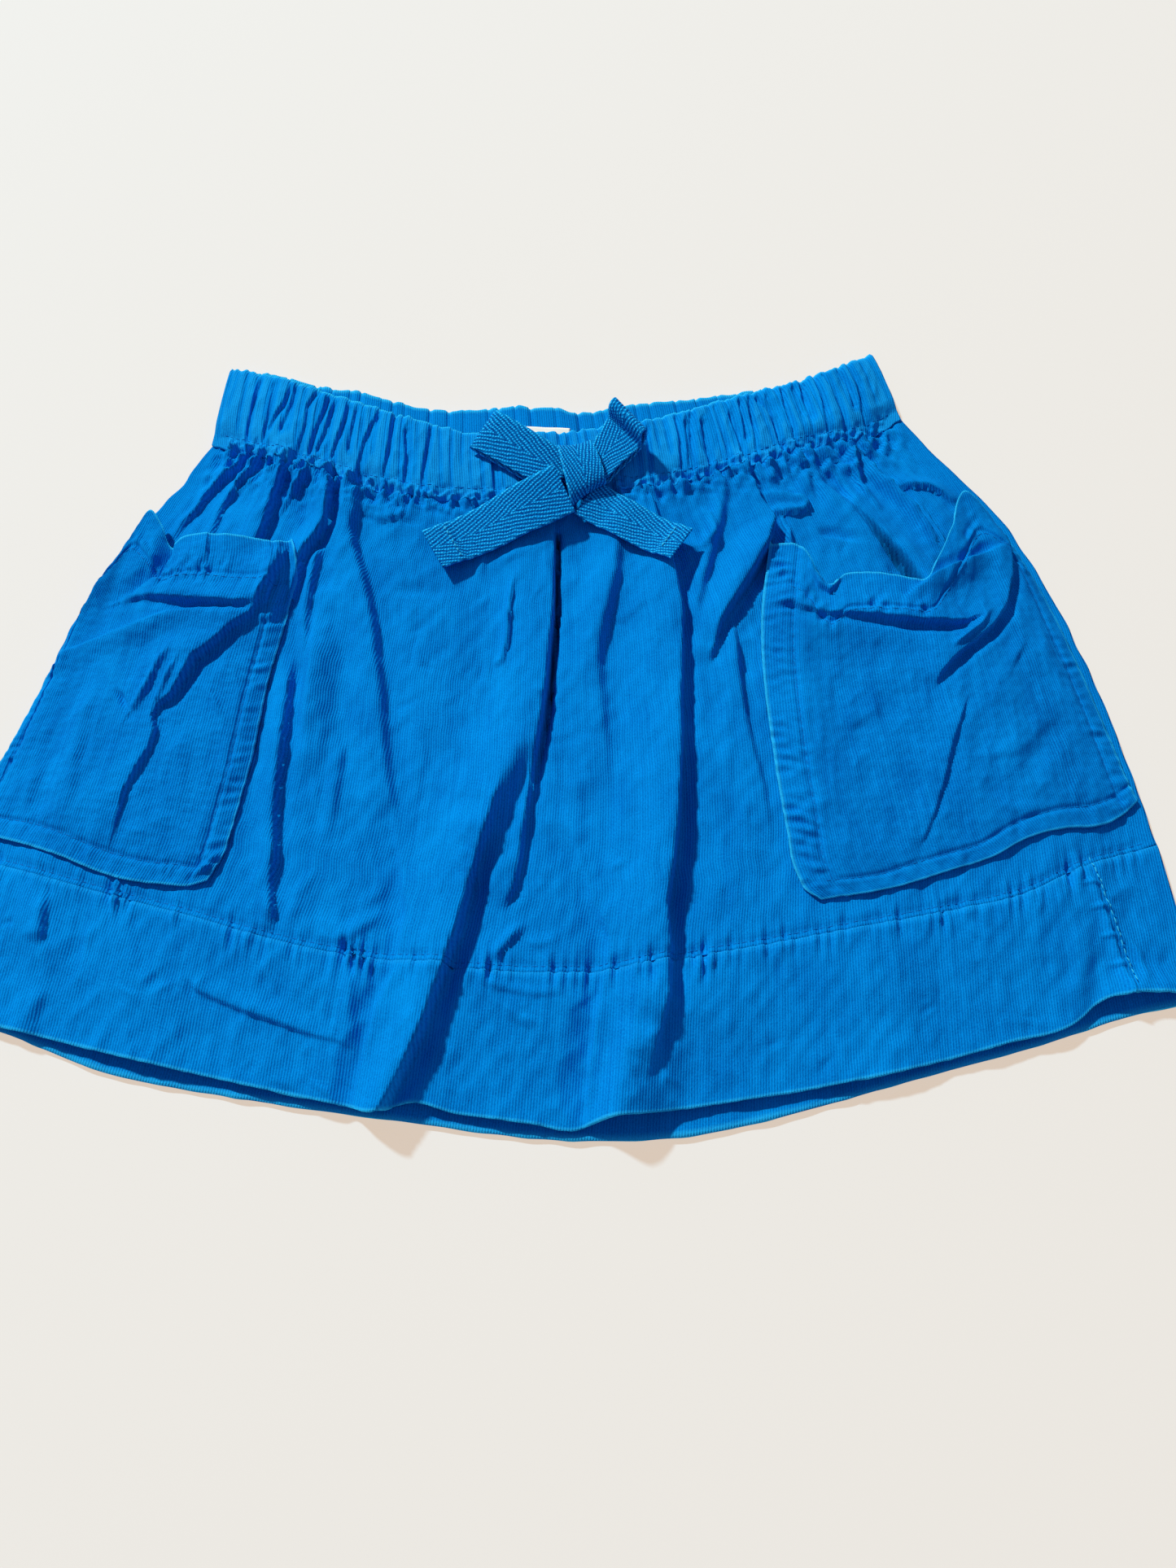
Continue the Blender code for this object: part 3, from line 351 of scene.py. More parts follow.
# Key light: place and width in metres, power in watts, colour; then the even surround
KEY_PLACE = (-2.30, 2.72, 3.20)
KEY_WIDTH = 0.34
KEY_POWER = 262.0
KEY_COLOUR = (1.0, 1.0, 0.86)
SKY_COLOUR = (0.9, 1.02, 1.54)
SKY_STRENGTH = 0.21

# Camera: focal length and long side in pixels of the picture, tilt in degrees, X and height in
# metres, and Y in millimetres of the plan
FOCAL_PIXELS = 1448.0
LONG_SIDE_PIXELS = 1927.0
CAMERA_TILT = 20.6
CAMERA_X = 0.016
CAMERA_PLAN_Y = -175.0
CAMERA_HEIGHT = 0.380


def column(table, index):
    """One column of a table as an array."""
    return np.array([row[index] for row in table], dtype=float)


def smooth_curve(keys, values, at):
    """Value of a smooth curve through the keyed values."""
    keys = np.asarray(keys, dtype=float)
    values = np.asarray(values, dtype=float)
    at = np.clip(np.asarray(at, dtype=float), keys[0], keys[-1])
    slopes = np.gradient(values, keys)
    cell = np.clip(np.searchsorted(keys, at, side="right") - 1, 0, len(keys) - 2)
    span = keys[cell + 1] - keys[cell]
    q = (at - keys[cell]) / span
    start = (1 + 2 * q) * (1 - q) ** 2 * values[cell] + q * (1 - q) ** 2 * span * slopes[cell]
    end = q * q * (3 - 2 * q) * values[cell + 1] + q * q * (q - 1) * span * slopes[cell + 1]
    return start + end


def line_height(line, x):
    """Y of a seam or edge line at the given x."""
    return smooth_curve(column(line, 0), column(line, 1), x)


def spread(line, across):
    """X at a share of the way along a line."""
    return line[0][0] + (line[-1][0] - line[0][0]) * across


def end_distance(line, x):
    """Distance along X from the nearer end of a line."""
    return np.minimum(x - line[0][0], line[-1][0] - x)


def ease(q):
    """Smooth step from 0 to 1."""
    q = np.clip(q, 0.0, 1.0)
    return q * q * (3 - 2 * q)


def bell(q):
    """Rounded hump, 1 at the middle and 0 beyond one width."""
    return 0.5 + 0.5 * np.cos(np.pi * np.clip(np.abs(q), 0.0, 1.0))


def near_line(distance, width):
    """Soft band around a line."""
    return np.exp(-(distance / width) ** 2)


def ridge(x, y, path, first, second, valley=0.0):
    """Height of one fold around its crest; the first width is on the left of a crest that runs down."""
    reach = max(first, second * VALLEY_REACH + 3.0)
    path_x = column(path, 0)
    path_y = column(path, 1)
    near = (x > path_x.min() - reach) & (x < path_x.max() + reach)
    near &= (y > path_y.min() - reach) & (y < path_y.max() + reach)
    px = x[near]
    py = y[near]
    best = np.full(px.shape, 1e9)
    height = np.zeros(px.shape)
    side = np.zeros(px.shape)
    for (x0, y0, h0), (x1, y1, h1) in zip(path[:-1], path[1:]):
        dx = x1 - x0
        dy = y1 - y0
        share = np.clip(((px - x0) * dx + (py - y0) * dy) / (dx * dx + dy * dy), 0.0, 1.0)
        away_x = px - x0 - share * dx
        away_y = py - y0 - share * dy
        distance = np.hypot(away_x, away_y)
        closer = distance < best
        best = np.where(closer, distance, best)
        height = np.where(closer, h0 + (h1 - h0) * ease(share), height)
        side = np.where(closer, dx * away_y - dy * away_x, side)
    width = np.where(side > 0, second, first)
    beyond = (best - VALLEY_MIDDLE * second) / (VALLEY_WIDTH * second + 1.0)
    hollow = np.where(side > 0, bell(beyond), 0.0) * ease(best / second)
    total = np.zeros(x.shape)
    total[near] = height * (bell(best / width) - valley * hollow)
    return total


def folds(x, y, table):
    """Heights of all the folds of a table."""
    total = np.zeros(x.shape)
    for row in table:
        total = total + ridge(x, y, *row)
    return total


def lumps(x, y):
    """Heights of the crumpled lumps along the waist seam."""
    total = np.zeros(x.shape)
    for at_x, at_y, radius, height in LUMPS:
        total = total + height * bell(np.hypot(x - at_x, y - at_y) / (radius * 1.15))
    return total


def waves(x, y, length, seed, stretch=1.0):
    """Smooth uneven noise between about -1 and 1, with the given length of wave in millimetres."""
    local = np.random.default_rng(seed)
    total = np.zeros(np.broadcast(x, y).shape)
    for _ in range(WAVE_COUNT):
        angle = local.uniform(0, 2 * np.pi)
        turn = local.uniform(0, 2 * np.pi)
        rate = 2 * np.pi / (length * local.uniform(0.6, 1.6))
        total = total + np.cos(rate * (np.cos(angle) * x + np.sin(angle) * y / stretch) + turn)
    return total / math.sqrt(WAVE_COUNT)


def crinkle(x, y, length, seed, stretch=1.0):
    """Noise with narrow ridges and flat hollows, as washed cotton dries."""
    return 1.0 - 2.2 * np.abs(waves(x, y, length, seed, stretch))


def make_gathers():
    """Gathers under the waist seam: top x, lower x, reach, height, left width, right width."""
    local = np.random.default_rng(5)
    rows = []
    x = -125.0
    while x < 133.0:
        side = min(abs(x - 4.0) / 130.0, 1.0)
        flat = -52 < x < -18
        reach = local.uniform(6, 14) + 6 * side * local.random()
        height = local.uniform(1.1, 2.4) * (0.5 if flat else 1.0) * (1.0 + 0.2 * side)
        lean = (x - 4.0) * 0.055 * local.uniform(0.4, 1.6)
        rows.append((x, x + lean, reach, height, local.uniform(2.4, 4.0), local.uniform(0.9, 1.8)))
        x += local.uniform(3.0, 7.4) * (1.3 if flat else 1.0)
    return rows


def make_small_creases():
    """Short seeded creases of the washed cloth, mostly along the ribs."""
    local = np.random.default_rng(17)
    rows = []
    for _ in range(150):
        x = local.uniform(-175, 185)
        y = local.uniform(-135, 75)
        angle = math.radians(local.normal(-90, 34))
        reach = local.uniform(6, 20)
        height = local.uniform(0.25, 0.75) * local.choice([-1, 1])
        bend = local.uniform(-2.5, 2.5)
        dx = math.cos(angle) * reach
        dy = math.sin(angle) * reach
        path = [(x, y, 0), (x + dx * 0.5 + bend, y + dy * 0.5, height), (x + dx, y + dy, 0)]
        rows.append((path, local.uniform(1.2, 3.4), local.uniform(1.0, 2.6)))
    return rows


GATHERS = make_gathers()
SMALL_CREASES = make_small_creases()


def gather_height(x, y):
    """Height of the short gathers and the crumple on both sides of the waist seam."""
    total = np.zeros(x.shape)
    down = line_height(WAIST_SEAM, x) - y
    for top_x, low_x, reach, height, left, right in GATHERS:
        share = np.clip(down / reach, 0.0, 1.0)
        away = x - top_x - (low_x - top_x) * share
        width = np.where(away > 0, right, left)
        rise = bell(share) * ease((down + 6.0) / 6.0)
        total = np.maximum(total, height * rise * bell(away / (width * (0.7 + 0.8 * share))))
    outward = ease((np.abs(x - 4.0) - 45.0) / 50.0)
    near = near_line(np.maximum(down, 0) / (7.0 + 7.0 * outward), 1.0)
    near = near * near_line(np.minimum(down, 0), 5.0)
    crumple = 0.9 * waves(x, y, 4.2, 54) + 0.7 * crinkle(x, y, 7.5, 57)
    clumps = 1.1 * outward * np.maximum(waves(x, y, 9.5, 64, 1.6), -0.8)
    return total + lumps(x, y) + (crumple + clumps) * near


def side_x(share):
    """Left and right outline x at a share of the way down the front."""
    keys = column(SIDES, 0)
    run = SIDE_LENGTH * np.asarray(share, dtype=float)
    left = smooth_curve(keys, column(SIDES, 1), share) + SIDE_WAVE * waves(run, 0 * run, 13.0, 61)
    right = smooth_curve(keys, column(SIDES, 2), share) + SIDE_WAVE * waves(run, 0 * run, 13.0, 62)
    return left, right


def outline_distance(x, y):
    """Distance along X from the nearer side of the front."""
    top = line_height(WAIST_SEAM, x)
    low = line_height(HEM_SEAM, x)
    left, right = side_x(np.clip((top - y) / (top - low), 0.0, 1.0))
    below = np.clip((low - y) / HEM_DEPTH, 0.0, 1.0)
    left = left + (FRONT_HEM[0][0] - HEM_SEAM[0][0]) * below
    right = right + (FRONT_HEM[-1][0] - HEM_SEAM[-1][0]) * below
    return np.minimum(x - left, right - x)


def front_base(x, y):
    """Upper face of the front without its folds."""
    foot = CLOTH + SIDE_LIFT
    down = line_height(WAIST_SEAM, x) - y
    below = line_height(HEM_SEAM, x) - y
    lift = PANEL_LIFT - foot + SEAM_SWELL * (1 - ease(down / SEAM_SWELL_REACH))
    lift = lift * (1 - HEM_FALL * ease(below / HEM_DEPTH))
    return foot + CLOTH + lift * ease(outline_distance(x, y) / PANEL_SIDE_RISE)


def hem_line_relief(x, y):
    """Stitched groove above the hem seam and the puckered lip below it."""
    below = line_height(HEM_SEAM, x) - y
    pucker = 0.5 + 0.5 * waves(x, y * 0.25, 5.0, 31)
    lip = 0.4 * near_line(below - 1.6, 2.6) * (0.1 + 0.9 * pucker)
    groove = -0.65 * near_line(below + 1.8, 1.4)
    tucks = waves(x, y * 0.12, 4.0, 34) * (0.6 + 0.8 * waves(x, y * 0.1, 24.0, 33))
    tucks = 0.75 * tucks * near_line(np.maximum(below, 0), 6.5) * near_line(np.minimum(below, 0), 5.5)
    return lip + groove + tucks


def front_top(x, y):
    """Upper face of the front with all its relief."""
    fade = ease(outline_distance(x, y) / FOLD_SIDE_RISE)
    down = line_height(WAIST_SEAM, x) - y
    relief = folds(x, y, MAIN_FOLDS) + folds(x, y, SMALL_FOLDS) + folds(x, y, GAPS)
    relief = relief + folds(x, y, SMALL_CREASES) + gather_height(x, y) + hem_line_relief(x, y)
    relief = relief + 0.34 * waves(x, y, 26.0, 21, 1.8) + 0.20 * crinkle(x, y, 19.0, 25, 1.7)
    relief = relief + 0.16 * waves(x, y, 7.0, 22, 1.5) + 0.06 * waves(x, y, 3.2, 23, 1.2)
    tuck = -1.0 * near_line(down, 1.3) * (0.7 + 0.5 * waves(x, 0 * y, 6.0, 58))
    return np.maximum(front_base(x, y) + (relief + tuck) * fade, CLOTH + SIDE_LIFT + SINGLE_CLOTH)


def plan_lengths(points, axis, anchor):
    """Running length in plan along one axis of a grid, zero at the anchor index."""
    steps = np.linalg.norm(np.diff(points[..., :2], axis=axis), axis=2)
    start = np.zeros([1 if k == axis else n for k, n in enumerate(steps.shape)])
    total = np.concatenate([start, np.cumsum(steps, axis=axis)], axis=axis)
    return total - np.take(total, [anchor], axis=axis)


def grid_normals(points):
    """Upward unit normals of a grid of points."""
    normal = np.cross(np.gradient(points, axis=0), np.gradient(points, axis=1))
    return normal / np.maximum(np.linalg.norm(normal, axis=2, keepdims=True), 1e-9)


# How far the plan moves along Y into the frame of the solids
PLAN_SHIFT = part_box("hem_band_back")[0][1] / MM - min(line_height(BACK_HEM, np.linspace(-213, 213, 427)))


def ring_of(index):
    """Indices around the rim of a grid, clockwise from above."""
    return np.concatenate([index[0, :-1], index[:-1, -1], index[-1, :0:-1], index[:0:-1, 0]])


def quads(index):
    """Faces of a grid that look up."""
    corners = [index[:-1, :-1], index[1:, :-1], index[1:, 1:], index[:-1, 1:]]
    return np.stack([c.ravel() for c in corners], axis=1)


def add_piece(name, mesh, material):
    """Visible piece of a finished mesh, carried by the body of the skirt."""
    mesh.materials.append(material)
    mesh.shade_smooth()
    piece = bpy.data.objects.new(name, mesh)
    bpy.context.scene.collection.objects.link(piece)
    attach(piece, "root")
    return piece


def bake_map(rows, columns, coarse, top_faces, low_faces, ring_size):
    """Bake coordinates of the corners: upper face on the left, lower face on the right, rim below."""
    plane = np.stack(np.meshgrid(np.linspace(0, 1, columns), np.linspace(1, 0, rows)), axis=2)
    plane = np.concatenate([plane.reshape(-1, 2), plane[::coarse, ::coarse].reshape(-1, 2)])
    along_rim = np.arange(ring_size)[:, None] / ring_size
    rim_u = along_rim + np.array([0, *np.linspace(0, 0.9, coarse + 1), 0.9])[None, :] / ring_size
    rim_v = np.array([0, *np.full(coarse + 1, 0.02), 0])[None, :] + np.zeros((ring_size, 1))
    return np.concatenate([
        plane[top_faces.ravel()] * (0.49, 0.97) + (0.0, 0.03),
        plane[low_faces.ravel()] * (0.49, 0.97) + (0.51, 0.03),
        np.stack([rim_u, rim_v], axis=2).reshape(-1, 2),
    ])


def shell(name, upper, thick, material, node, coarse=2, cloth=None, wear_and_shade=None):
    """Closed cloth under a grid of its upper face, with its cloth coordinates and a bake map."""
    rows, columns = upper.shape[:2]
    depth = np.asarray(thick, dtype=float)
    under = upper - grid_normals(upper) * (depth[..., None] if depth.ndim else depth)
    if cloth is None:
        arcs = plan_lengths(upper, 1, columns // 2)
        widest = np.argmax(arcs[:, -1] - arcs[:, 0])
        across = (1 - RIB_FAN) * arcs + RIB_FAN * arcs[widest][None, :]
        cloth = np.stack([across, plan_lengths(upper, 0, 0)], axis=2)
    # The third cloth coordinate is wear, with painted shade over deep gaps as negative values
    edge = np.zeros((rows, columns)) if wear_and_shade is None else wear_and_shade
    coordinates = np.concatenate([cloth, edge[..., None]], axis=2)
    low = under[::coarse, ::coarse]
    low_coordinates = coordinates[::coarse, ::coarse]
    count = rows * columns
    points = np.concatenate([upper.reshape(-1, 3), low.reshape(-1, 3)])
    points[:, 1] += PLAN_SHIFT
    top_index = np.arange(count).reshape(rows, columns)
    low_index = count + np.arange(low.shape[0] * low.shape[1]).reshape(low.shape[:2])
    top_faces = quads(top_index)
    low_faces = quads(low_index)[:, ::-1]
    top_ring = ring_of(top_index)
    low_ring = ring_of(low_index)
    steps = [np.roll(top_ring, -k)[::coarse] for k in range(coarse + 1)]
    rim_faces = np.stack([low_ring, *steps, np.roll(low_ring, -1)], axis=1)
    mesh = bpy.data.meshes.new(name)
    faces = top_faces.tolist() + low_faces.tolist() + rim_faces.tolist()
    mesh.from_pydata((points * MM).tolist(), [], faces)
    values = np.concatenate([coordinates.reshape(-1, 3), low_coordinates.reshape(-1, 3)])
    values = values.astype(np.float32)
    mesh.attributes.new("cloth", "FLOAT_VECTOR", "POINT").data.foreach_set("vector", values.ravel())
    uv = bake_map(rows, columns, coarse, top_faces, low_faces, len(low_ring))
    layer = mesh.uv_layers.new(name="OFBake")
    layer.data.foreach_set("uv", uv.astype(np.float32).ravel())
    piece = add_piece(name, mesh, material)
    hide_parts(node)
    return piece


def panel_plan(top_line, low_line, columns, rows):
    """Plan grid of a skirt panel from the waist seam to the hem seam."""
    across = np.linspace(0.0, 1.0, columns)
    down = np.linspace(0.0, 1.0, rows)
    top_y = line_height(top_line, spread(top_line, across))
    low_y = line_height(low_line, spread(low_line, across))
    left, right = side_x(down)
    x = left[:, None] + (right - left)[:, None] * across[None, :]
    y = top_y[None, :] * (1 - down[:, None]) + low_y[None, :] * down[:, None]
    return x, y


def line_plan(top_line, low_line, columns, rows):
    """Plan grid ruled between two lines."""
    across = np.linspace(0.0, 1.0, columns)
    share = np.linspace(0.0, 1.0, rows)[:, None]
    top_x = spread(top_line, across)
    low_x = spread(low_line, across)
    x = top_x[None, :] * (1 - share) + low_x[None, :] * share
    y = line_height(top_line, top_x)[None, :] * (1 - share)
    y = y + line_height(low_line, low_x)[None, :] * share
    return x, y


def edge_wear(rows, columns, sides, reach):
    """Wear value that is high along the chosen edges of a grid."""
    i = np.arange(rows)[:, None] + np.zeros((1, columns))
    j = np.arange(columns)[None, :] + np.zeros((rows, 1))
    distances = {"top": i, "bottom": rows - 1 - i, "left": j, "right": columns - 1 - j}
    nearest = np.min([distances[side] for side in sides], axis=0)
    return np.clip(1 - nearest / reach, 0, 1)


def new_material(name):
    """Empty material and its node tree."""
    material = bpy.data.materials.new(name)
    material.use_nodes = True
    return material, material.node_tree


def math_node(tree, kind, *values):
    """Math node fed by sockets or numbers."""
    node = tree.nodes.new("ShaderNodeMath")
    node.operation = kind
    for slot, value in enumerate(values):
        if isinstance(value, (int, float)):
            node.inputs[slot].default_value = value
        else:
            tree.links.new(value, node.inputs[slot])
    return node.outputs[0]


def mix_colour(tree, share, first, second):
    """Colour mix fed by sockets or plain colours, with the share kept between 0 and 1."""
    node = tree.nodes.new("ShaderNodeMix")
    node.data_type = "RGBA"
    node.clamp_factor = True
    tree.links.new(share, node.inputs["Factor"])
    for name, value in (("A", first), ("B", second)):
        socket = [s for s in node.inputs if s.name == name and s.type == "RGBA"][0]
        if isinstance(value, tuple):
            socket.default_value = (*value, 1.0)
        else:
            tree.links.new(value, socket)
    return [s for s in node.outputs if s.type == "RGBA"][0]


def cloth_inputs(tree):
    """Across and along values of the cloth coordinates, and the third value: wear, with painted shade over
    deep gaps as negative values.
    """
    source = tree.nodes.new("ShaderNodeAttribute")
    source.attribute_name = "cloth"
    parts = tree.nodes.new("ShaderNodeSeparateXYZ")
    tree.links.new(source.outputs["Vector"], parts.inputs[0])
    return parts.outputs[0], parts.outputs[1], parts.outputs[2]


def noise_at(tree, across, along, rate_across, rate_along, detail, offset):
    """Noise over the cloth, with its own rate per millimetre across and along the ribs."""
    join = tree.nodes.new("ShaderNodeCombineXYZ")
    tree.links.new(math_node(tree, "MULTIPLY", across, rate_across), join.inputs[0])
    tree.links.new(math_node(tree, "MULTIPLY", along, rate_along), join.inputs[1])
    join.inputs[2].default_value = offset
    noise = tree.nodes.new("ShaderNodeTexNoise")
    noise.inputs["Scale"].default_value = 1.0
    noise.inputs["Detail"].default_value = detail
    tree.links.new(join.outputs[0], noise.inputs["Vector"])
    return noise.outputs[0]


def centred(tree, value, amount, base=0.0):
    """Noise value centred on zero, scaled and added to a base."""
    return math_node(tree, "MULTIPLY_ADD", value, amount, math_node(tree, "ADD", base, -amount / 2))


def add_bump(tree, shader, height, distance):
    """Bump from a height socket."""
    bump = tree.nodes.new("ShaderNodeBump")
    bump.inputs["Strength"].default_value = 0.8
    bump.inputs["Distance"].default_value = distance
    tree.links.new(height, bump.inputs["Height"])
    tree.links.new(bump.outputs[0], shader.inputs["Normal"])


def stripes(tree, place, period, swing, middle):
    """Even stripes over a place value, as a cosine around the middle."""
    angle = math_node(tree, "MULTIPLY", place, 2 * math.pi / period)
    return math_node(tree, "MULTIPLY_ADD", math_node(tree, "COSINE", angle), swing, middle)


def corduroy(name, offset, tone=PANEL_TONE):
    """Washed blue pincord: uneven fine ribs, faded patches, worn edges, shade painted into the deep gaps
    and a soft nap.
    """
    material, tree = new_material(name)
    shader = tree.nodes["Principled BSDF"]
    across, along, wear_and_shade = cloth_inputs(tree)
    drift = noise_at(tree, across, along, 0.03, 0.03, 1.0, offset)
    place = math_node(tree, "MULTIPLY_ADD", drift, 1.2, across)
    rib = stripes(tree, place, WALE, swing=0.5, middle=0.5)
    streak = noise_at(tree, place, along, 0.8, 0.03, 1.0, offset + 3)
    patch = noise_at(tree, across, along, 0.06, 0.045, 3.0, offset + 7)
    fibre = noise_at(tree, across, along, 2.4, 1.6, 3.0, offset + 9)
    level = math_node(tree, "MULTIPLY_ADD", rib, RIB_CONTRAST, tone)
    for noise, contrast in ((streak, STREAK_CONTRAST), (patch, PATCH_CONTRAST), (fibre, FIBRE_CONTRAST)):
        level = centred(tree, noise, contrast, level)
    colour = mix_colour(tree, level, CORD_DEEP, CORD_TOP)
    # Paler where the cloth is worn, and on the front waistband outside its creases, partly as painted
    # light against painted shade in the creases
    wear_and_light_share = math_node(tree, "MULTIPLY", wear_and_shade, math_node(tree, "ADD", fibre, 0.3))
    colour = mix_colour(tree, wear_and_light_share, colour, CORD_WORN_AND_LIT)
    # Painted shade: negative values of the wear channel darken the deep gaps towards the gap shade colour
    gap = math_node(tree, "MULTIPLY", wear_and_shade, -1.0)
    tree.links.new(mix_colour(tree, gap, colour, CORD_GAP_SHADE), shader.inputs["Base Color"])
    add_bump(tree, shader, math_node(tree, "MULTIPLY_ADD", fibre, 1.1, rib), RIB_BUMP)
    shader.inputs["Roughness"].default_value = 0.95
    shader.inputs["Specular IOR Level"].default_value = 0.01
    shader.inputs["Sheen Weight"].default_value = 0.03
    shader.inputs["Sheen Roughness"].default_value = 0.6
    shader.inputs["Sheen Tint"].default_value = (0.05, 0.55, 1.0, 1.0)
    return material


def herringbone(name, offset):
    """Cotton twill tape: slanted rows of bright floats that turn at the middle of the tape."""
    material, tree = new_material(name)
    shader = tree.nodes["Principled BSDF"]
    across, along, wear_and_shade = cloth_inputs(tree)
    slope = math_node(tree, "ABSOLUTE", across)
    sway = noise_at(tree, across, along, 0.35, 0.25, 1.0, offset + 5)
    slope = centred(tree, sway, 1.1, slope)
    row_slope = math_node(tree, "MULTIPLY", slope, ROW_ACROSS)
    row_place = math_node(tree, "MULTIPLY_ADD", along, ROW_ALONG, row_slope)
    row = stripes(tree, row_place, TAPE_ROW, swing=0.5, middle=0.5)
    float_slope = math_node(tree, "MULTIPLY", slope, FLOAT_ACROSS)
    float_place = math_node(tree, "MULTIPLY_ADD", along, FLOAT_ALONG, float_slope)
    dash = stripes(tree, float_place, TAPE_FLOAT, swing=0.32, middle=0.68)
    floats = math_node(tree, "MULTIPLY", math_node(tree, "POWER", row, 1.3), dash)
    fibre = noise_at(tree, across, along, 1.6, 1.6, 3.0, offset)
    level = centred(tree, fibre, 1.25, math_node(tree, "MULTIPLY_ADD", floats, 1.0, 0.14))
    level = math_node(tree, "ADD", level, math_node(tree, "MULTIPLY", wear_and_shade, 0.3))
    colour = mix_colour(tree, level, TAPE_DEEP, TAPE_TOP)
    glint = math_node(tree, "MULTIPLY_ADD", level, 2.0, -1.7)
    tree.links.new(mix_colour(tree, glint, colour, TAPE_GLINT), shader.inputs["Base Color"])
    add_bump(tree, shader, floats, TAPE_BUMP)
    shader.inputs["Roughness"].default_value = 0.85
    shader.inputs["Specular IOR Level"].default_value = 0.03
    return material


def mottled(name, colour, roughness, rate, depth):
    """One colour broken up a little by noise."""
    material, tree = new_material(name)
    shader = tree.nodes["Principled BSDF"]
    place = tree.nodes.new("ShaderNodeTexCoord")
    noise = tree.nodes.new("ShaderNodeTexNoise")
    noise.inputs["Scale"].default_value = rate
    tree.links.new(place.outputs["Object"], noise.inputs["Vector"])
    deep = tuple(c * (1 - depth) for c in colour)
    tree.links.new(mix_colour(tree, noise.outputs[0], deep, colour), shader.inputs["Base Color"])
    shader.inputs["Roughness"].default_value = roughness
    shader.inputs["Specular IOR Level"].default_value = 0.1
    return material


# Rings of points around a stitch: share of its length, share of its radius
STITCH_RINGS = [(0.0, 0.25), (0.15, 0.85), (0.5, 1.0), (0.85, 0.85), (1.0, 0.25)]
STITCH_SIDES = 6


def stitch_points(line, run, start, size, radius):
    """Points around one arched stitch that starts at a running length of a line."""
    points = []
    for share, swell in STITCH_RINGS:
        at = min(start + share * size, run[-1])
        ahead = min(at + 0.3, run[-1])
        centre = np.array([np.interp(at, run, line[:, k]) for k in range(3)])
        tangent = np.array([np.interp(ahead, run, line[:, k]) for k in range(3)]) - centre
        tangent = tangent / max(np.linalg.norm(tangent), 1e-9)
        square = np.cross(tangent, (0.0, 0.0, 1.0))
        square = square / max(np.linalg.norm(square), 1e-9)
        rise = np.cross(square, tangent)
        lift = radius * (0.55 * math.sin(math.pi * share) - 0.2)
        for angle in np.arange(STITCH_SIDES) * 2 * np.pi / STITCH_SIDES:
            side = square * math.cos(angle) + rise * math.sin(angle)
            points.append(centre + rise * lift + side * radius * swell)
    return points


def stitch_faces(base):
    """Faces of the stitch whose first point has the given index."""
    faces = []
    for ring in range(len(STITCH_RINGS) - 1):
        for k in range(STITCH_SIDES):
            a = base + ring * STITCH_SIDES + k
            b = base + ring * STITCH_SIDES + (k + 1) % STITCH_SIDES
            faces.append((a, b, b + STITCH_SIDES, a + STITCH_SIDES))
    last = base + (len(STITCH_RINGS) - 1) * STITCH_SIDES
    faces.append(tuple(range(base + STITCH_SIDES - 1, base - 1, -1)))
    faces.append(tuple(range(last, last + STITCH_SIDES)))
    return faces


def stitch_rows(name, lines, length, gap, radius, seed, thread=THREAD_BLUE):
    """Rows of short sewn stitches along lines on the cloth."""
    local = np.random.default_rng(seed)
    points = []
    faces = []
    for line in lines:
        line = np.asarray(line, dtype=float)
        run = np.concatenate([[0.0], np.cumsum(np.linalg.norm(np.diff(line, axis=0), axis=1))])
        start = local.uniform(0, gap)
        while start + length < run[-1]:
            size = length * local.uniform(0.85, 1.1)
            faces += stitch_faces(len(points))
            points += stitch_points(line, run, start, size, radius)
            start += size + gap * local.uniform(0.7, 1.4)
    points = np.array(points)
    points[:, 1] += PLAN_SHIFT
    mesh = bpy.data.meshes.new(name)
    mesh.from_pydata((points * MM).tolist(), [], faces)
    add_piece(name, mesh, mottled(name + "_thread", thread, roughness=0.8, rate=700.0, depth=0.3))


def surface_line(x, y):
    """Line on the front over the given plan points."""
    x = np.asarray(x, dtype=float)
    y = np.asarray(y, dtype=float)
    return np.stack([x, y, front_top(x, y)], axis=1)


def build_front():
    """Front panel and its hem band, with the stitching of the hem and of the side seam."""
    x, y = panel_plan(WAIST_SEAM, HEM_SEAM, columns=433, rows=177)
    upper = np.stack([x, y, front_top(x, y)], axis=2)
    # Painted shade over the deep gaps, carried as negative values of the wear channel
    gap_shade = np.clip(folds(x, y, GAPS) / GAP_SHADE_DEPTH, -1.0, 0.0)
    cord = corduroy("front_cord", offset=1.0)
    panel = shell("skirt_front_cloth", upper, SINGLE_CLOTH, cord, "skirt_front",
                  wear_and_shade=gap_shade)
    columns, rows = 481, 73
    x, y = line_plan(HEM_SEAM, FRONT_HEM, columns, rows)
    below = line_height(HEM_SEAM, x) - y
    upper = np.stack([x, y, front_top(x, y) + 0.3 * ease(below / 2.0)], axis=2)
    seam_wear = 0.15 * edge_wear(rows, columns, ("top",), reach=3.0)
    wear_and_shade = np.maximum(edge_wear(rows, columns, ("bottom",), reach=2.0), seam_wear)
    cord = corduroy("hem_front_cord", offset=2.0, tone=BAND_TONE)
    hem = shell("hem_band_front_cloth", upper, DOUBLE_CLOTH, cord, "hem_band_front",
                wear_and_shade=wear_and_shade)
    seam_x = np.linspace(-196, 203, 500)
    seam = surface_line(seam_x, line_height(HEM_SEAM, seam_x) + 1.9)
    side_y = np.linspace(-60, -103, 60)
    seam_at = smooth_curve(column(SIDE_SEAM, 0), column(SIDE_SEAM, 1), side_y)
    side_seam = surface_line(seam_at, side_y) + (1.6, 0, 0.3)
    stitch_rows("hem_stitches", [seam], length=2.3, gap=0.7, radius=0.16, seed=91)
    stitch_rows("side_seam_stitches", [side_seam], length=1.9, gap=0.6, radius=0.2, seed=92,
                thread=THREAD_TAPE)


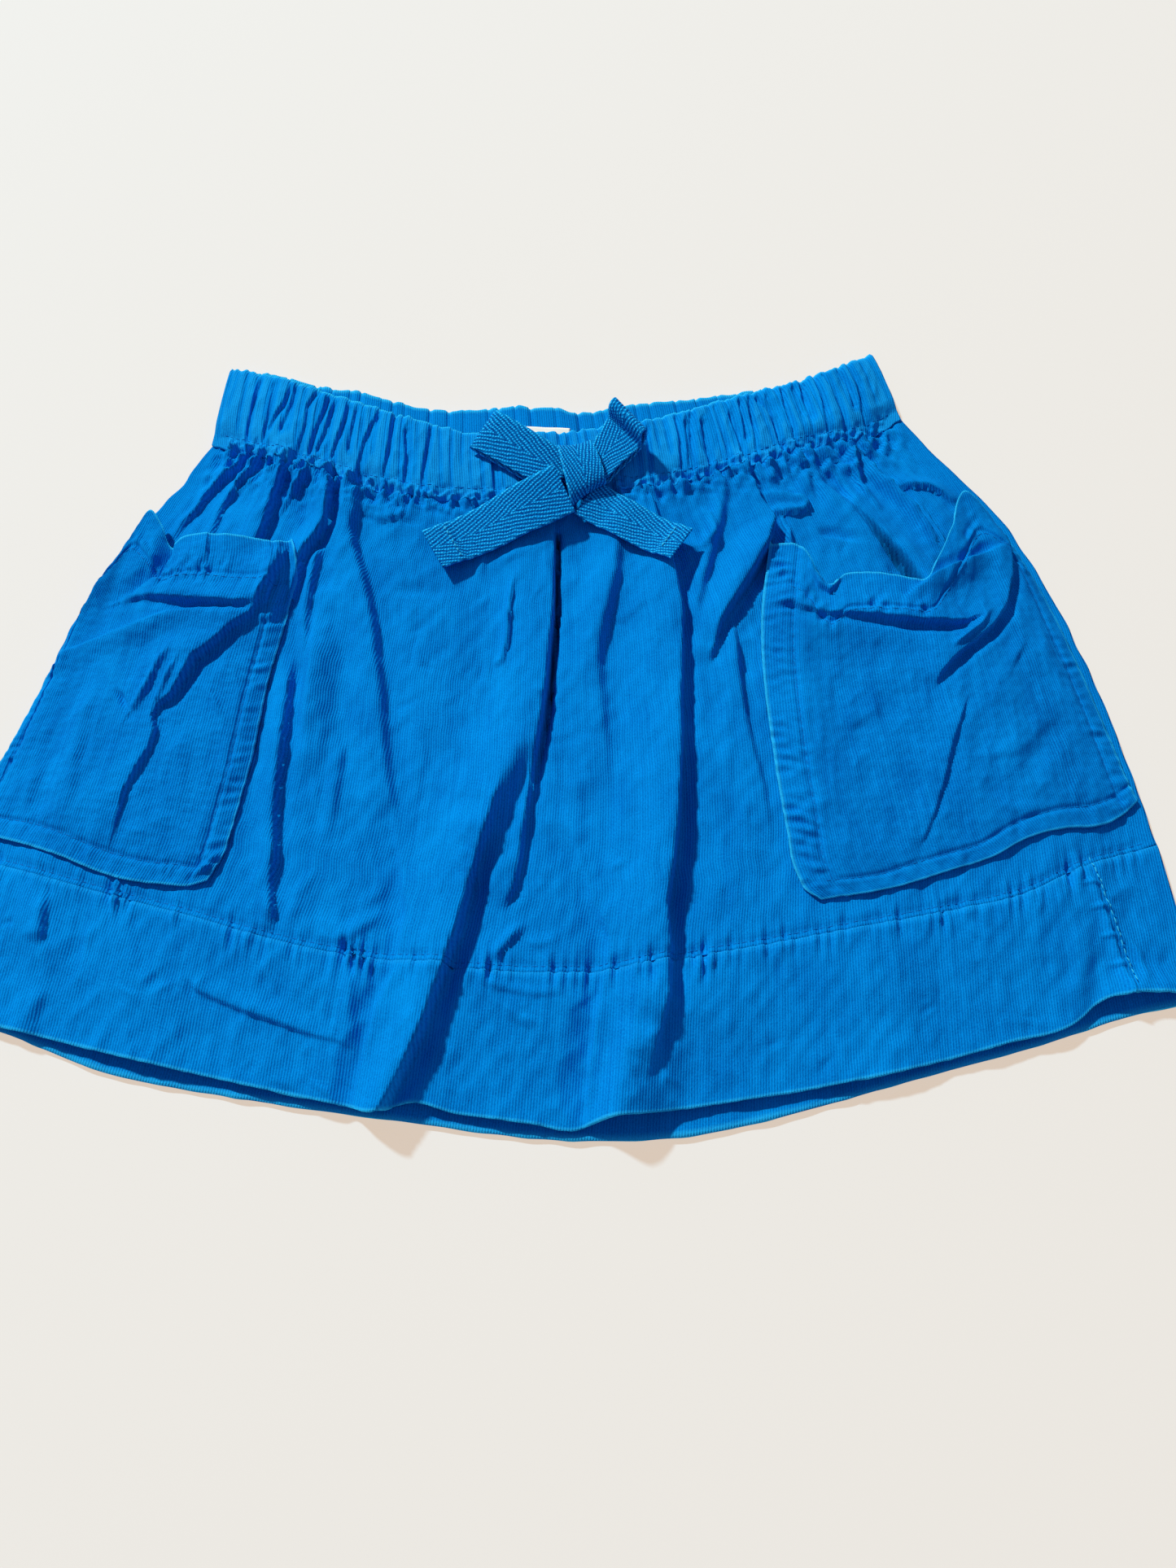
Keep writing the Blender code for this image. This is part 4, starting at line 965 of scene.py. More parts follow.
def build_back():
    """Back panel and its hem band, flat on the surface."""
    x, y = panel_plan(BACK_WAIST_SEAM, BACK_HEM_SEAM, columns=181, rows=81)
    upper = np.stack([x, y, CLOTH + 0 * x], axis=2)
    panel = shell("skirt_back_cloth", upper, CLOTH, corduroy("back_cord", offset=3.0), "skirt_back")
    columns, rows = 361, 41
    x, y = line_plan(BACK_HEM_SEAM, BACK_HEM, columns, rows)
    edge = near_line(y - line_height(BACK_HEM, x), 3.0)
    upper = np.stack([x, y, HEM_CLOTH + edge * (0.3 + 0.3 * waves(x, y, 18.0, 41, 0.6))], axis=2)
    wear_and_shade = edge_wear(rows, columns, ("bottom",), reach=2.0)
    hem = shell("hem_band_back_cloth", upper, upper[..., 2], corduroy("hem_back_cord", offset=4.0),
                "hem_band_back", wear_and_shade=wear_and_shade)


def crease_depths(creases, seed):
    """The creases of the waistband as troughs, steep on the left and gentle on the right."""
    local = np.random.default_rng(seed)
    rows = []
    for crease in creases:
        depth = local.uniform(1.3, 2.2)
        path = [(x, y, -depth * local.uniform(0.75, 1.1)) for x, y in crease]
        first_x, first_y = crease[0]
        last_x, last_y = crease[-1]
        path.insert(0, (first_x + 0.3, first_y + 2.5, -depth * 0.3))
        path.append((last_x, last_y - 1.5, -depth * 0.4))
        rows.append((path, local.uniform(0.7, 1.0), local.uniform(2.0, 3.4)))
    return rows


def elastic_puckers(s_mm, up, seed, low_step, high_step, depth):
    """Smaller puckers of cloth over elastic, as narrow troughs that wander a little."""
    local = np.random.default_rng(seed)
    total = np.zeros(s_mm.shape)
    at = 1.0
    while at < BAND_LENGTH:
        wander = 0.6 * np.sin(2.3 * up + local.uniform(0, 6.28)) + 0.8 * local.uniform(-1, 1) * (up - 0.5)
        width = local.uniform(0.5, 0.9)
        away = s_mm - at - wander
        trough = np.where(away > 0, bell(away / (width * 3.0)), bell(away / width))
        reach = ease((up - local.uniform(0, 0.5)) / 0.2 + 0.5)
        total = np.minimum(total, -depth * local.uniform(0.4, 1.2) * trough * reach)
        at += local.uniform(low_step, high_step)
    return total


def band_grid(columns, rows):
    """Share of the way up, share of the way down and running length over the grid of a waistband."""
    share = np.linspace(0.0, 1.0, rows)[:, None]
    up = 1 - share + np.zeros((1, columns))
    s_mm = np.linspace(0.0, 1.0, columns)[None, :] * BAND_LENGTH + np.zeros((rows, 1))
    return up, share, s_mm


def build_front_band():
    """Front of the gathered waistband, drawn in by its elastic."""
    rows, columns = 61, 641
    up, share, s_mm = band_grid(columns, rows)
    x, y = line_plan(FRONT_TOP_EDGE, WAIST_SEAM, columns, rows)
    top_x = x[0]
    low_x = x[-1]
    relief = folds(x, y, crease_depths(BAND_CREASES, 8))
    relief = relief + elastic_puckers(s_mm, up, seed=12, low_step=2.2, high_step=5.5, depth=0.6)
    scallop = 0.35 * relief[0] + 0.35 * waves(top_x, 0 * top_x, 5.5, 55)
    bumps = 0.5 * waves(low_x, 0 * low_x, 4.4, 52)
    y = y + scallop[None, :] * up ** 3 + (bumps[None, :] - 0.8) * share ** 3
    foot = BAND_CLOTH + BACK_PUCKER_HEIGHT + SIDE_LIFT
    lift = BAND_LIFT_SEAM + (BAND_LIFT_TOP - BAND_LIFT_SEAM) * up - foot
    base = foot + BAND_CLOTH + lift * ease(end_distance(WAIST_SEAM, x) / BAND_SIDE_RISE)
    roll = -1.3 * near_line(share * BAND_DEPTH, 1.5)
    body = 0.7 * np.sin(np.pi * share) + 0.3 * waves(x, y, 13.0, 53, 2.5)
    body = body + 0.12 * crinkle(x, y, 6.0, 56, 2.0)
    pinch = -0.9 * near_line((1 - share) * BAND_DEPTH - 5.0, 1.0) * (0.6 + 0.6 * waves(x, y, 7.0, 59))
    inside = ease(end_distance(WAIST_SEAM, x) / 6.0)
    z = base + (0.5 + relief + body + pinch) * inside + roll
    joined = ease((share - 0.70) / 0.26)
    z = z * (1 - joined) + (front_top(x, y) + LAYER_GAP) * joined + 0.35 * relief * joined
    upper = np.stack([x, y, np.maximum(z, foot + SINGLE_CLOTH)], axis=2)
    # Wear along the top edge; the band is also a little paler everywhere except in its creases, partly
    # rubbed wear on the raised cloth and partly painted shade in the creases
    wear_and_shade = np.maximum(edge_wear(rows, columns, ("top",), reach=2.6), 0.2 * ease((relief + 0.3) / 0.3))
    thick = DOUBLE_CLOTH - 0.5 * ease((share - 0.8) / 0.2) + 0 * x
    cord = corduroy("band_front_cord", offset=5.0, tone=BAND_TONE)
    front = shell("waistband_front_cloth", upper, thick, cord, "waistband_front",
                  wear_and_shade=wear_and_shade)
    seam = upper[-10, 8:-8] + (0, 0, 0.05)
    stitch_rows("waist_stitches", [seam], length=1.6, gap=1.0, radius=0.15, seed=93)


def build_back_band():
    """Back of the gathered waistband, flat on the surface."""
    rows, columns = 37, 481
    up, _, s_mm = band_grid(columns, rows)
    x, y = line_plan(BACK_TOP_EDGE, BACK_WAIST_SEAM, columns, rows)
    relief = elastic_puckers(s_mm, np.maximum(up, 0.6), seed=9, low_step=3.0, high_step=11.0, depth=1.0)
    y = y + (0.2 * relief[0] + 0.4 * waves(x[0], 0 * x[0], 9.0, 57))[None, :] * up ** 3
    thick = BAND_CLOTH + BACK_PUCKER_HEIGHT + relief * ease(end_distance(BACK_WAIST_SEAM, x) / 6.0)
    upper = np.stack([x, y, thick], axis=2)
    cord = corduroy("band_back_cord", offset=6.0)
    back = shell("waistband_back_cloth", upper, thick, cord, "waistband_back",
                 wear_and_shade=edge_wear(rows, columns, ("top",), reach=2.0))


# Mouth edge of each pocket, outer side seam first: x, y, height over the panel
LEFT_MOUTH = [
    (-154.4, 48.1, 1), (-153.1, 55.5, 3), (-149.8, 61.7, 5), (-144.3, 71.3, 6.5), (-139.6, 65.1, 6),
    (-134, 55.5, 4.5), (-129.8, 56.9, 6), (-120.6, 57.8, 6.4), (-108.1, 56.8, 6), (-99, 55.6, 4.4),
    (-95, 55.6, 3.4), (-91.6, 58.8, 2),
]
RIGHT_MOUTH = [
    (171.6, 62.5, 1.5), (163.2, 71.5, 4.5), (155.6, 79, 6), (147.3, 61.7, 6), (140.6, 48.1, 5.4),
    (135.7, 40.1, 5.4), (124.9, 41.4, 4.6), (114, 42.6, 4.2), (106.6, 41.6, 4), (102.4, 37.3, 3.6),
    (97.4, 42.1, 3.2), (95.6, 49.4, 2.6), (91.5, 55.5, 1.8), (86.3, 56.4, 1.2), (81.6, 56.4, 0.6),
]
LEFT_INNER = [
    (-91.6, 58.8), (-89.4, 53), (-88.2, 42), (-89.6, 34), (-90.8, 25), (-92.6, 15), (-95, 0),
    (-96.4, -15), (-97.8, -29), (-99.8, -41), (-101.8, -52), (-103.6, -61), (-108, -69.5),
]
LEFT_BOTTOM = [
    (-108, -69.5), (-114.7, -71.4), (-122.2, -70.8), (-132.9, -69.6), (-144.2, -66.4), (-156.3, -61.4),
    (-168.3, -57.3), (-181, -53.4), (-195.5, -49),
]
LEFT_OUTER = [
    (-154.4, 48.1), (-160.6, 41), (-166.4, 30), (-170.7, 19.5), (-174, 9), (-177.6, -2.5),
    (-181.6, -14.5), (-185.9, -27), (-190.4, -38.5), (-195.5, -49),
]
RIGHT_INNER = [
    (81.9, 56.9), (79.8, 44.8), (77.6, 30), (76.8, 15.5), (77.2, -3.2), (78.5, -21.4), (79.8, -36),
    (81.6, -51.8), (83.8, -66.6), (86.6, -72.6), (91.5, -76),
]
RIGHT_BOTTOM = [
    (91.5, -76), (100.9, -74.5), (115.7, -71.8), (132, -66.8), (148.9, -61.3), (161.4, -54.8),
    (174.8, -51.2), (187, -49.6), (195.8, -45.4), (202.3, -40),
]
RIGHT_OUTER = [
    (171.6, 62.5), (176.6, 50.5), (181.6, 37.5), (186, 23.5), (190, 9), (193.6, -5.5), (196.6, -18),
    (199.2, -29), (202.3, -40),
]

# Puff of a pocket: share of the way down, height over the panel
LEFT_PUFF = [(0, 6.5), (0.18, 5.5), (0.3, 2.6), (0.5, 2.2), (0.75, 1.8), (1, 0.4)]
RIGHT_PUFF = [(0, 5.5), (0.16, 4.6), (0.28, 2.6), (0.55, 2.4), (0.8, 1.6), (1, 0.4)]

# Folds of each pocket, in the form of the folds of the front
LEFT_POCKET_FOLDS = [
    ([(-133.9, 56.9, -2), (-134.8, 50.1, -3.8), (-138.5, 42.8, -3.6), (-145.1, 38.1, -2.8),
      (-150.5, 35.5, -1)], 7, 1.1),
    ([(-100.4, 30.2, 0.6), (-107.4, 29.5, 2), (-113, 30, 2.8), (-119.9, 31, 2.8), (-133.5, 33, 2),
      (-143.4, 34.5, 1.4), (-150, 33.5, 0.5)], 10, 1, 0.5),
    ([(-91.4, 57.5, 1.8), (-93.6, 47.1, 2.8), (-96.1, 39.2, 3), (-99.3, 32.6, 2.6),
      (-101.6, 26.4, 1)], 14, 1.1, 0),
    ([(-99.3, 32, 0.4), (-102.4, 25.6, 2), (-109, 20.8, 3.4), (-114.4, 14.8, 4.2), (-120.6, 9.5, 4.8),
      (-122.4, 5, 4.6), (-124.6, 0, 4), (-127.1, -5.1, 3), (-131, -8.2, 2.2), (-132.5, -12.5, 2),
      (-130.7, -17.4, 2), (-132, -23.9, 2), (-135.5, -31.4, 2), (-138.4, -38.7, 1.8), (-139.4, -46, 1.6),
      (-140.6, -53.5, 0.8), (-142.1, -60.4, 0)], 20, 1.1, 0.25),
    ([(-120.3, 57.5, 1.2), (-119.8, 50.8, 1.4), (-119.2, 42.7, 0.6)], 9, 1),
    ([(-109.3, 27, 1), (-120.6, 27.4, 1.6), (-131.7, 26, 2.4), (-143.7, 22.7, 2.8), (-155.2, 19.3, 2.4),
      (-171, 14, 1.5)], 2.2, 9),
    ([(-128.7, 15.5, 0), (-132, 8, 1.7), (-135.7, -1.4, 2), (-138.8, -8.5, 1.2)], 2, 2.4, 0.5),
    ([(-124.5, 12, 0), (-128, 3, 1.2), (-131, -6, 0.8)], 1.6, 1.6, 0.5),
    ([(-146.9, -0.8, 0), (-143.5, -5.1, -1.6), (-140.4, -11.2, 0)], 2.2, 1.2),
    ([(-157.5, 2.9, 0), (-156.8, -9.8, 1.6), (-158.3, -27.8, 1.8), (-158, -45, 1.2),
      (-158.7, -56, 0)], 10, 5),
    ([(-116.2, -0.1, 0), (-111.9, -6.6, 0.9), (-107.3, -14.8, 0)], 2, 2),
    ([(-94.6, 56.4, 1), (-94.7, 43.8, 2.2), (-96.6, 33.8, 2.4), (-98.7, 27.7, 0)], 5, 1.2),
    ([(-118, -12, 0), (-122, -30, 0.8), (-120, -50, 0)], 7, 5),
    ([(-99, -53, 0), (-103, -60, 1.5), (-109.5, -66.5, 1.7), (-114, -69, 0.6)], 2.6, 1.2),
    ([(-112, -58, 0), (-110.5, -62, 0.9), (-109, -66, 0.6)], 1.4, 1.2),
    ([(-168, -20, 0), (-172, -38, 0.8), (-176, -50, 0)], 5, 4),
]
RIGHT_POCKET_FOLDS = [
    ([(149, 24, 1), (146, 22.9, 2.4), (137.1, 22.7, 3), (128.6, 23.6, 2.8), (117.5, 25.4, 2.2),
      (106.3, 26.5, 1.4), (98.3, 26.8, 1.3), (91.3, 29.1, 1.2), (85.2, 32.2, 0.9),
      (80, 32.6, 0.4)], 11, 1, 0.6),
    ([(125.4, 29, 0), (130.9, 34.9, 1.6), (139.4, 41.1, 2.8), (151.7, 47.8, 2.8), (161.9, 53.5, 2.2),
      (171, 58.6, 0)], 9, 1.1, 0.4),
    ([(169.4, 56, 2), (168.3, 44, 3), (164.2, 31.8, 3.6), (158, 22.8, 3.6), (151.3, 17, 3.4),
      (146.8, 13.3, 3.2), (142, 9.2, 2.8), (137.2, 3.9, 2), (134.9, -1.7, 0)], 15, 1.2, 0.4),
    ([(158.5, 30, 0), (153, 22, 1.6), (147, 17, 1.8), (141, 12.5, 0)], 1.6, 1.6, 0.5),
    ([(147.1, -2, 0), (142.9, -11.7, 1.1), (138.8, -22.1, 1.4), (135.4, -33.3, 1.5), (130.9, -45.3, 1.2),
      (127, -53.6, 0.8), (123.5, -59.9, 0)], 13, 0.8, 0.3),
    ([(181.2, -9.9, 0), (174.1, -17.2, -1.2), (165, -27.3, -1.2), (158.2, -41.8, 0)], 5, 7),
    ([(171.5, 21.9, 0), (165.4, 11.9, 1.2), (159.2, 1.1, 0)], 5, 2),
    ([(142.6, -27.3, 0), (154.7, -25.1, 0.8), (169.3, -19.9, 0)], 4, 5),
    ([(95.1, -18.4, 0), (109.3, -12.6, 0.8), (121.3, -3.2, 0)], 4, 6),
    ([(95.5, 46.3, 1), (98.1, 38.1, 2.8), (101.3, 35.4, 2.8), (104.8, 40.1, 1.4)], 1.2, 3.4),
    ([(174, 30, 0), (178, 16, 1), (180, 2, 0)], 6, 3),
    ([(84, -62, 0.3), (88, -69, 1.6), (93.5, -73.5, 1.4), (99, -73, 0.4)], 2.4, 1.2),
    ([(188, -38, 0), (192, -44, 1.2), (197, -43, 1.8), (200, -39, 1.4)], 2.4, 1.4),
    ([(150, -40, 0), (160, -46, 0.8), (172, -44, 0)], 3, 5),
]


def curve_points(line, share):
    """Points along a line at shares of its length."""
    table = np.array(line, dtype=float)
    steps = np.hypot(np.diff(table[:, 0]), np.diff(table[:, 1]))
    keys = np.concatenate([[0.0], np.cumsum(steps)]) / steps.sum()
    return np.stack([smooth_curve(keys, table[:, k], share) for k in range(table.shape[1])], axis=1)


def pocket_plan(mouth, inner, bottom, outer, columns, rows):
    """Plan grid of a pocket between its four edges, columns from the outer edge in."""
    across = np.linspace(0.0, 1.0, columns)
    down = np.linspace(0.0, 1.0, rows)
    mouth_rows = curve_points(mouth, across)
    top = mouth_rows[:, :2]
    low = curve_points(bottom[::-1], across)
    first = curve_points(outer, down)
    last = curve_points(inner, down)
    s = across[None, :, None]
    t = down[:, None, None]
    plan = (1 - t) * top[None] + t * low[None] + (1 - s) * first[:, None] + s * last[:, None]
    corners = (1 - s) * (1 - t) * top[0] + s * (1 - t) * top[-1]
    corners = corners + (1 - s) * t * low[0] + s * t * low[-1]
    return plan - corners, mouth_rows[:, 2], across, down


def pocket_relief(x, y, from_inner, from_outer, from_bottom, from_mouth, seed):
    """Puckers along the sewn edges, the stitched grooves and the unevenness of the slack cloth."""
    slack = ease(from_inner / 16.0) * ease(from_outer / 14.0) * ease(from_bottom / 18.0)
    total = (0.34 * waves(x, y, 19.0, seed, 1.3) + 0.15 * crinkle(x, y, 13.0, seed + 1, 1.4)) * slack
    total = total + 0.11 * waves(x, y, 5.0, seed + 2)
    uneven = 0.6 + 0.5 * waves(x, y, 22.0, seed + 7)
    total = total + 0.62 * uneven * near_line(from_inner - 5.0, 5.2) * waves(x * 0.5, y, 4.8, seed + 3)
    total = total + 0.45 * uneven * near_line(from_outer - 4.0, 4.4) * waves(x * 0.45, y, 4.0, seed + 4)
    total = total + 0.55 * uneven * near_line(from_bottom - 5.0, 4.6) * waves(x, y * 0.3, 5.6, seed + 5)
    mouth_puckers = 0.95 * uneven * near_line(from_mouth - 15.5, 4.6) * waves(x, y * 0.6, 4.4, seed + 6)
    total = total + mouth_puckers * ease(np.minimum(from_inner, from_outer) / 16.0)
    for away, place in ((from_inner, 8.6), (from_bottom, 7.4), (from_outer, 6.0), (from_mouth, 16.5)):
        total = total - GROOVE_DEPTH * near_line(away - place, GROOVE_WIDTH)
    return total


def build_pocket(side, mouth, inner, bottom, outer, puff, pocket_folds, mirrored, seed):
    """Patch pocket with a turned mouth band, stitched edges and slumped cloth."""
    columns, rows = 201, 225
    plan, mouth_lift, across, down = pocket_plan(mouth, inner, bottom, outer, columns, rows)
    if mirrored:
        plan = plan[:, ::-1]
        mouth_lift = mouth_lift[::-1]
        across = across[::-1]
    x = plan[..., 0]
    y = plan[..., 1]
    from_inner = (1 - across)[None, :] * POCKET_WIDTH + 0 * x
    from_outer = across[None, :] * POCKET_WIDTH + 0 * x
    from_bottom = (1 - down)[:, None] * POCKET_DEPTH + 0 * x
    from_mouth = down[:, None] * POCKET_DEPTH + 0 * x
    sewn = ease(from_inner / 12.0) * ease(from_outer / 12.0) * ease(from_bottom / 16.0)
    body = smooth_curve(column(puff, 0), column(puff, 1), down)[:, None]
    mouth_share = 1 - ease(down / 0.2)[:, None]
    lift = (mouth_share * mouth_lift[None, :] + (1 - mouth_share) * body) * sewn ** 0.6
    edges = ease(np.minimum(from_inner, from_outer) / 5.0) * ease(from_bottom / 9.0)
    lift = lift + folds(x, y, pocket_folds) * edges
    lift = lift + pocket_relief(x, y, from_inner, from_outer, from_bottom, from_mouth, seed)
    plain = front_base(x, y) + LAYER_GAP + POCKET_CLOTH + lift
    z = np.maximum(plain, front_top(x, y) + LAYER_GAP + SINGLE_CLOTH)
    upper = np.stack([x, y, z], axis=2)
    wear_and_shade = edge_wear(rows, columns, ("top", "left", "right", "bottom"), reach=1.8)
    cord = corduroy("pocket_%s_cord" % side, offset=seed, tone=POCKET_TONE)
    piece = shell("pocket_%s_cloth" % side, upper, SINGLE_CLOTH, cord, "pocket_" + side,
                  wear_and_shade=wear_and_shade)
    inner_column = -17 if not mirrored else 16
    outer_column = 11 if not mirrored else -12
    lines = [upper[34:-13, inner_column], upper[-14, 12:-12]]
    lines += [upper[8:-13, outer_column], upper[32, 12:-12]]
    stitch_rows("pocket_%s_stitches" % side, lines, length=2.2, gap=0.7, radius=0.15, seed=seed + 40)


# Free ends of the bow: x, y, height over what lies below, share of the full width, lean of the right
# edge as seen on the way out
LEFT_TAIL = [
    (7.5, 75.2, 5.8, 1.24, 2.2), (-3, 70.4, 4.2, 1.22, 2), (-14, 65.8, 2, 1.18, 1),
    (-27, 59.6, 1.8, 1.13, 0.4), (-39.8, 52.6, 3.8, 1.1, 0),
]
RIGHT_TAIL = [
    (15.5, 74.4, 1.8, 1.06, 0), (27, 67.2, 1, 1.01, 0), (38, 60.2, 0.9, 0.97, 0),
    (49.3, 52.6, 1.8, 0.93, 0),
]

# Turned end of the tape: its extra height, and where it starts as a share of the free end
TAIL_HEM = 0.8
TAIL_HEM_START = 0.83

# Loops of the bow: distance from the start, height, share of the full width, lean of the upper edge
LEFT_LOOP = [
    (-3, 0.8, 0.9, 0), (7, 0.5, 0.96, 0), (16, 0.4, 1, 0), (25, 0.5, 1.02, 0), (31.5, 1, 1.04, 0.6),
    (34, 2, 1.05, 1.4), (33.8, 3.2, 1.05, 2.2), (31, 4.2, 1.05, 2.8), (24, 4.6, 1.04, 3),
    (14, 4.7, 1.02, 3), (6.5, 4.6, 0.98, 2.6), (-3, 3.8, 0.9, 1.5),
]
RIGHT_LOOP = [
    (-2, 1, 0.8, 0), (6, 0.9, 0.86, 0), (13, 1, 0.98, 0), (18, 1.6, 1.04, 0), (21.3, 3.2, 1.08, 0),
    (22.6, 5.6, 1.1, 0), (22.8, 8.2, 1.1, 0), (22.2, 10.4, 1.1, 0), (20.9, 11.5, 1.1, 0),
    (19.6, 10.8, 1.1, 0), (19.2, 8.6, 1.1, 0), (19.2, 6.2, 1.1, 0), (18.2, 4.2, 1.08, 0), (13, 4, 1, 0),
    (7, 4.3, 0.88, 0), (-2, 4.2, 0.78, 0),
]

# Where each loop starts, its heading in degrees, and how far its far fold leans along it
LEFT_LOOP_START = (5.0, 83.4)
LEFT_LOOP_HEADING = 145.0
LEFT_LOOP_SLANT = 0.0
RIGHT_LOOP_START = (19.0, 85.6)
RIGHT_LOOP_HEADING = 56.0
RIGHT_LOOP_SLANT = 2.8

# Knot: height of its foot, middle, half of its length, rise, half width, and the way its width points
KNOT_FOOT = 12.6
KNOT_MIDDLE = (13.4, 85.4)
KNOT_REACH = 10.8
KNOT_RISE = 6.8
KNOT_HALF_WIDTH = 6.0
KNOT_SIDE = (0.968, 0.249)


def tape_piece(name, centres, sides, node, offset, crown=0.0):
    """Tape along a centre line, with a fine grid across it."""
    tangent = np.gradient(centres, axis=0)
    normal = np.cross(sides, tangent)
    normal = normal / np.linalg.norm(normal, axis=1, keepdims=True)
    ratio = np.linspace(-1.0, 1.0, 21)
    upper = centres[None] + ratio[:, None, None] * sides[None]
    upper = upper + (crown * (1 - ratio ** 2))[:, None, None] * normal[None]
    along = np.concatenate([[0.0], np.cumsum(np.linalg.norm(np.diff(centres, axis=0), axis=1))])
    half = np.maximum(np.linalg.norm(sides, axis=1), TAPE_WIDTH / 2)
    cloth = np.stack([ratio[:, None] * half[None, :], along[None, :] + 0 * ratio[:, None]], axis=2)
    wear_and_shade = edge_wear(len(ratio), len(centres), ("top", "bottom"), reach=1.5)
    piece = shell(name, upper, TAPE_THICKNESS, herringbone(name + "_twill", offset), node, coarse=1,
                  cloth=cloth, wear_and_shade=wear_and_shade)
    return upper


def build_tail(side, stations, offset):
    """Free tape end lying on the front."""
    keys = np.linspace(0.0, 1.0, len(stations))
    at = np.linspace(0.0, 1.0, 81)
    x, y, over, width, lean = [smooth_curve(keys, column(stations, k), at) for k in range(5)]
    tangent = np.stack([np.gradient(x), np.gradient(y)], axis=1)
    tangent = tangent / np.linalg.norm(tangent, axis=1, keepdims=True)
    square = np.stack([tangent[:, 1], -tangent[:, 0], np.zeros(len(at))], axis=1)
    sides = square * np.sqrt((TAPE_WIDTH / 2 * width) ** 2 - lean ** 2)[:, None]
    sides[:, 2] = lean
    reach = np.linspace(-1.1, 1.1, 9)
    px = x[:, None] + reach[None, :] * sides[:, 0:1]
    py = y[:, None] + reach[None, :] * sides[:, 1:2]
    band = BAND_LIFT_SEAM + BAND_CLOTH + 1.9
    band_top = np.where(py > line_height(WAIST_SEAM, px) - 1.0, band, 0.0)
    height = np.maximum(front_top(px, py), band_top).max(axis=1)
    z = np.convolve(np.pad(height, 8, mode="edge"), np.ones(17) / 17, mode="valid") + over
    z = z + TAPE_THICKNESS + 0.35 * np.sin(at * 9.0 + offset)
    z = z + TAIL_HEM * ease((at - TAIL_HEM_START) / 0.015)
    centres = np.stack([x, y, z], axis=1)
    upper = tape_piece("bow_tail_%s_tape" % side, centres, sides, "bow_tail_" + side,
                       offset)
    seam = upper[2:-2, -12] + (0, 0, 0.15)
    stitch_rows("bow_tail_%s_stitches" % side, [seam], length=1.5, gap=0.6, radius=0.38,
                seed=int(offset), thread=THREAD_TAPE)


def build_loop(side, start, heading, slant, stations, offset):
    """Loop that leaves the knot and comes back over itself, its far fold turned by the slant."""
    keys = np.linspace(0.0, 1.0, len(stations))
    at = np.linspace(0.0, 1.0, 101)
    distance, height, width, lean = [smooth_curve(keys, column(stations, k), at) for k in range(4)]
    angle = math.radians(heading)
    out = np.array([math.cos(angle), math.sin(angle), 0.0])
    square = np.array([math.sin(angle), -math.cos(angle), 0.0])
    centres = np.array([start[0], start[1], 0.0]) + out * distance[:, None]
    centres[:, 2] = KNOT_FOOT + height
    half = width * TAPE_WIDTH / 2
    sides = square * np.sqrt(half ** 2 - lean ** 2)[:, None]
    sides = sides - out * (slant * np.clip(distance, 0.0, None) / distance.max())[:, None]
    sides[:, 2] = lean
    tape_piece("bow_loop_%s_tape" % side, centres, sides, "bow_loop_" + side,
               offset)


def build_knot():
    """Tape wrapped once over the crossing of the bow."""
    at = np.linspace(0.0, 1.0, 91)
    turn = np.pi * (0.02 + 0.96 * at)
    run = np.array([KNOT_SIDE[1], -KNOT_SIDE[0], 0.0])
    square = np.array([*KNOT_SIDE, 0.0])
    centres = np.array([*KNOT_MIDDLE, KNOT_FOOT + 0.8]) + run * (-np.cos(turn) * KNOT_REACH)[:, None]
    centres[:, 2] += KNOT_RISE * np.sin(turn) ** 0.5
    half = KNOT_HALF_WIDTH + 1.3 * at + 0.5 * np.sin(turn)
    slant = 3.6 * at ** 2 - 0.4
    sides = square * half[:, None] - run * slant[:, None]
    tape_piece("bow_knot_tape", centres, sides, "bow_knot", offset=4.0,
               crown=0.9)


def build_label():
    """Blank white label inside the back waistband."""
    x, y = np.meshgrid(np.linspace(-LABEL_HALF, LABEL_HALF, 31), np.linspace(LABEL_TOP, LABEL_LOW, 31))
    y = y - LABEL_SLOPE * (x + LABEL_HALF)
    upper = np.stack([x, y, BAND_CLOTH + 1.0 + 0.1 * waves(x, y, 9.0, 71)], axis=2)
    satin = mottled("label_white", LABEL_WHITE, roughness=0.55, rate=900.0, depth=0.06)
    piece = shell("label_cloth", upper, 0.4, satin, "label", coarse=1)


def build_floor():
    """Plain floor that is pale mostly by an even light of its own, so that its shadows stay light."""
    mesh = bpy.data.meshes.new("floor")
    half = 1.6
    corners = [(-half, -half, 0), (half, -half, 0), (half, half, 0), (-half, half, 0)]
    mesh.from_pydata(corners, [], [(0, 1, 2, 3)])
    material = mottled("floor_white", FLOOR_TINT, roughness=0.95, rate=3.0, depth=0.02)
    shader = material.node_tree.nodes["Principled BSDF"]
    shader.inputs["Specular IOR Level"].default_value = 0.0
    shader.inputs["Emission Color"].default_value = (*FLOOR_GLOW, 1.0)
    shader.inputs["Emission Strength"].default_value = 1.0
    mesh.materials.append(material)
    floor = bpy.data.objects.new("floor", mesh)
    bpy.context.scene.collection.objects.link(floor)
    floor.location.z = -0.0002


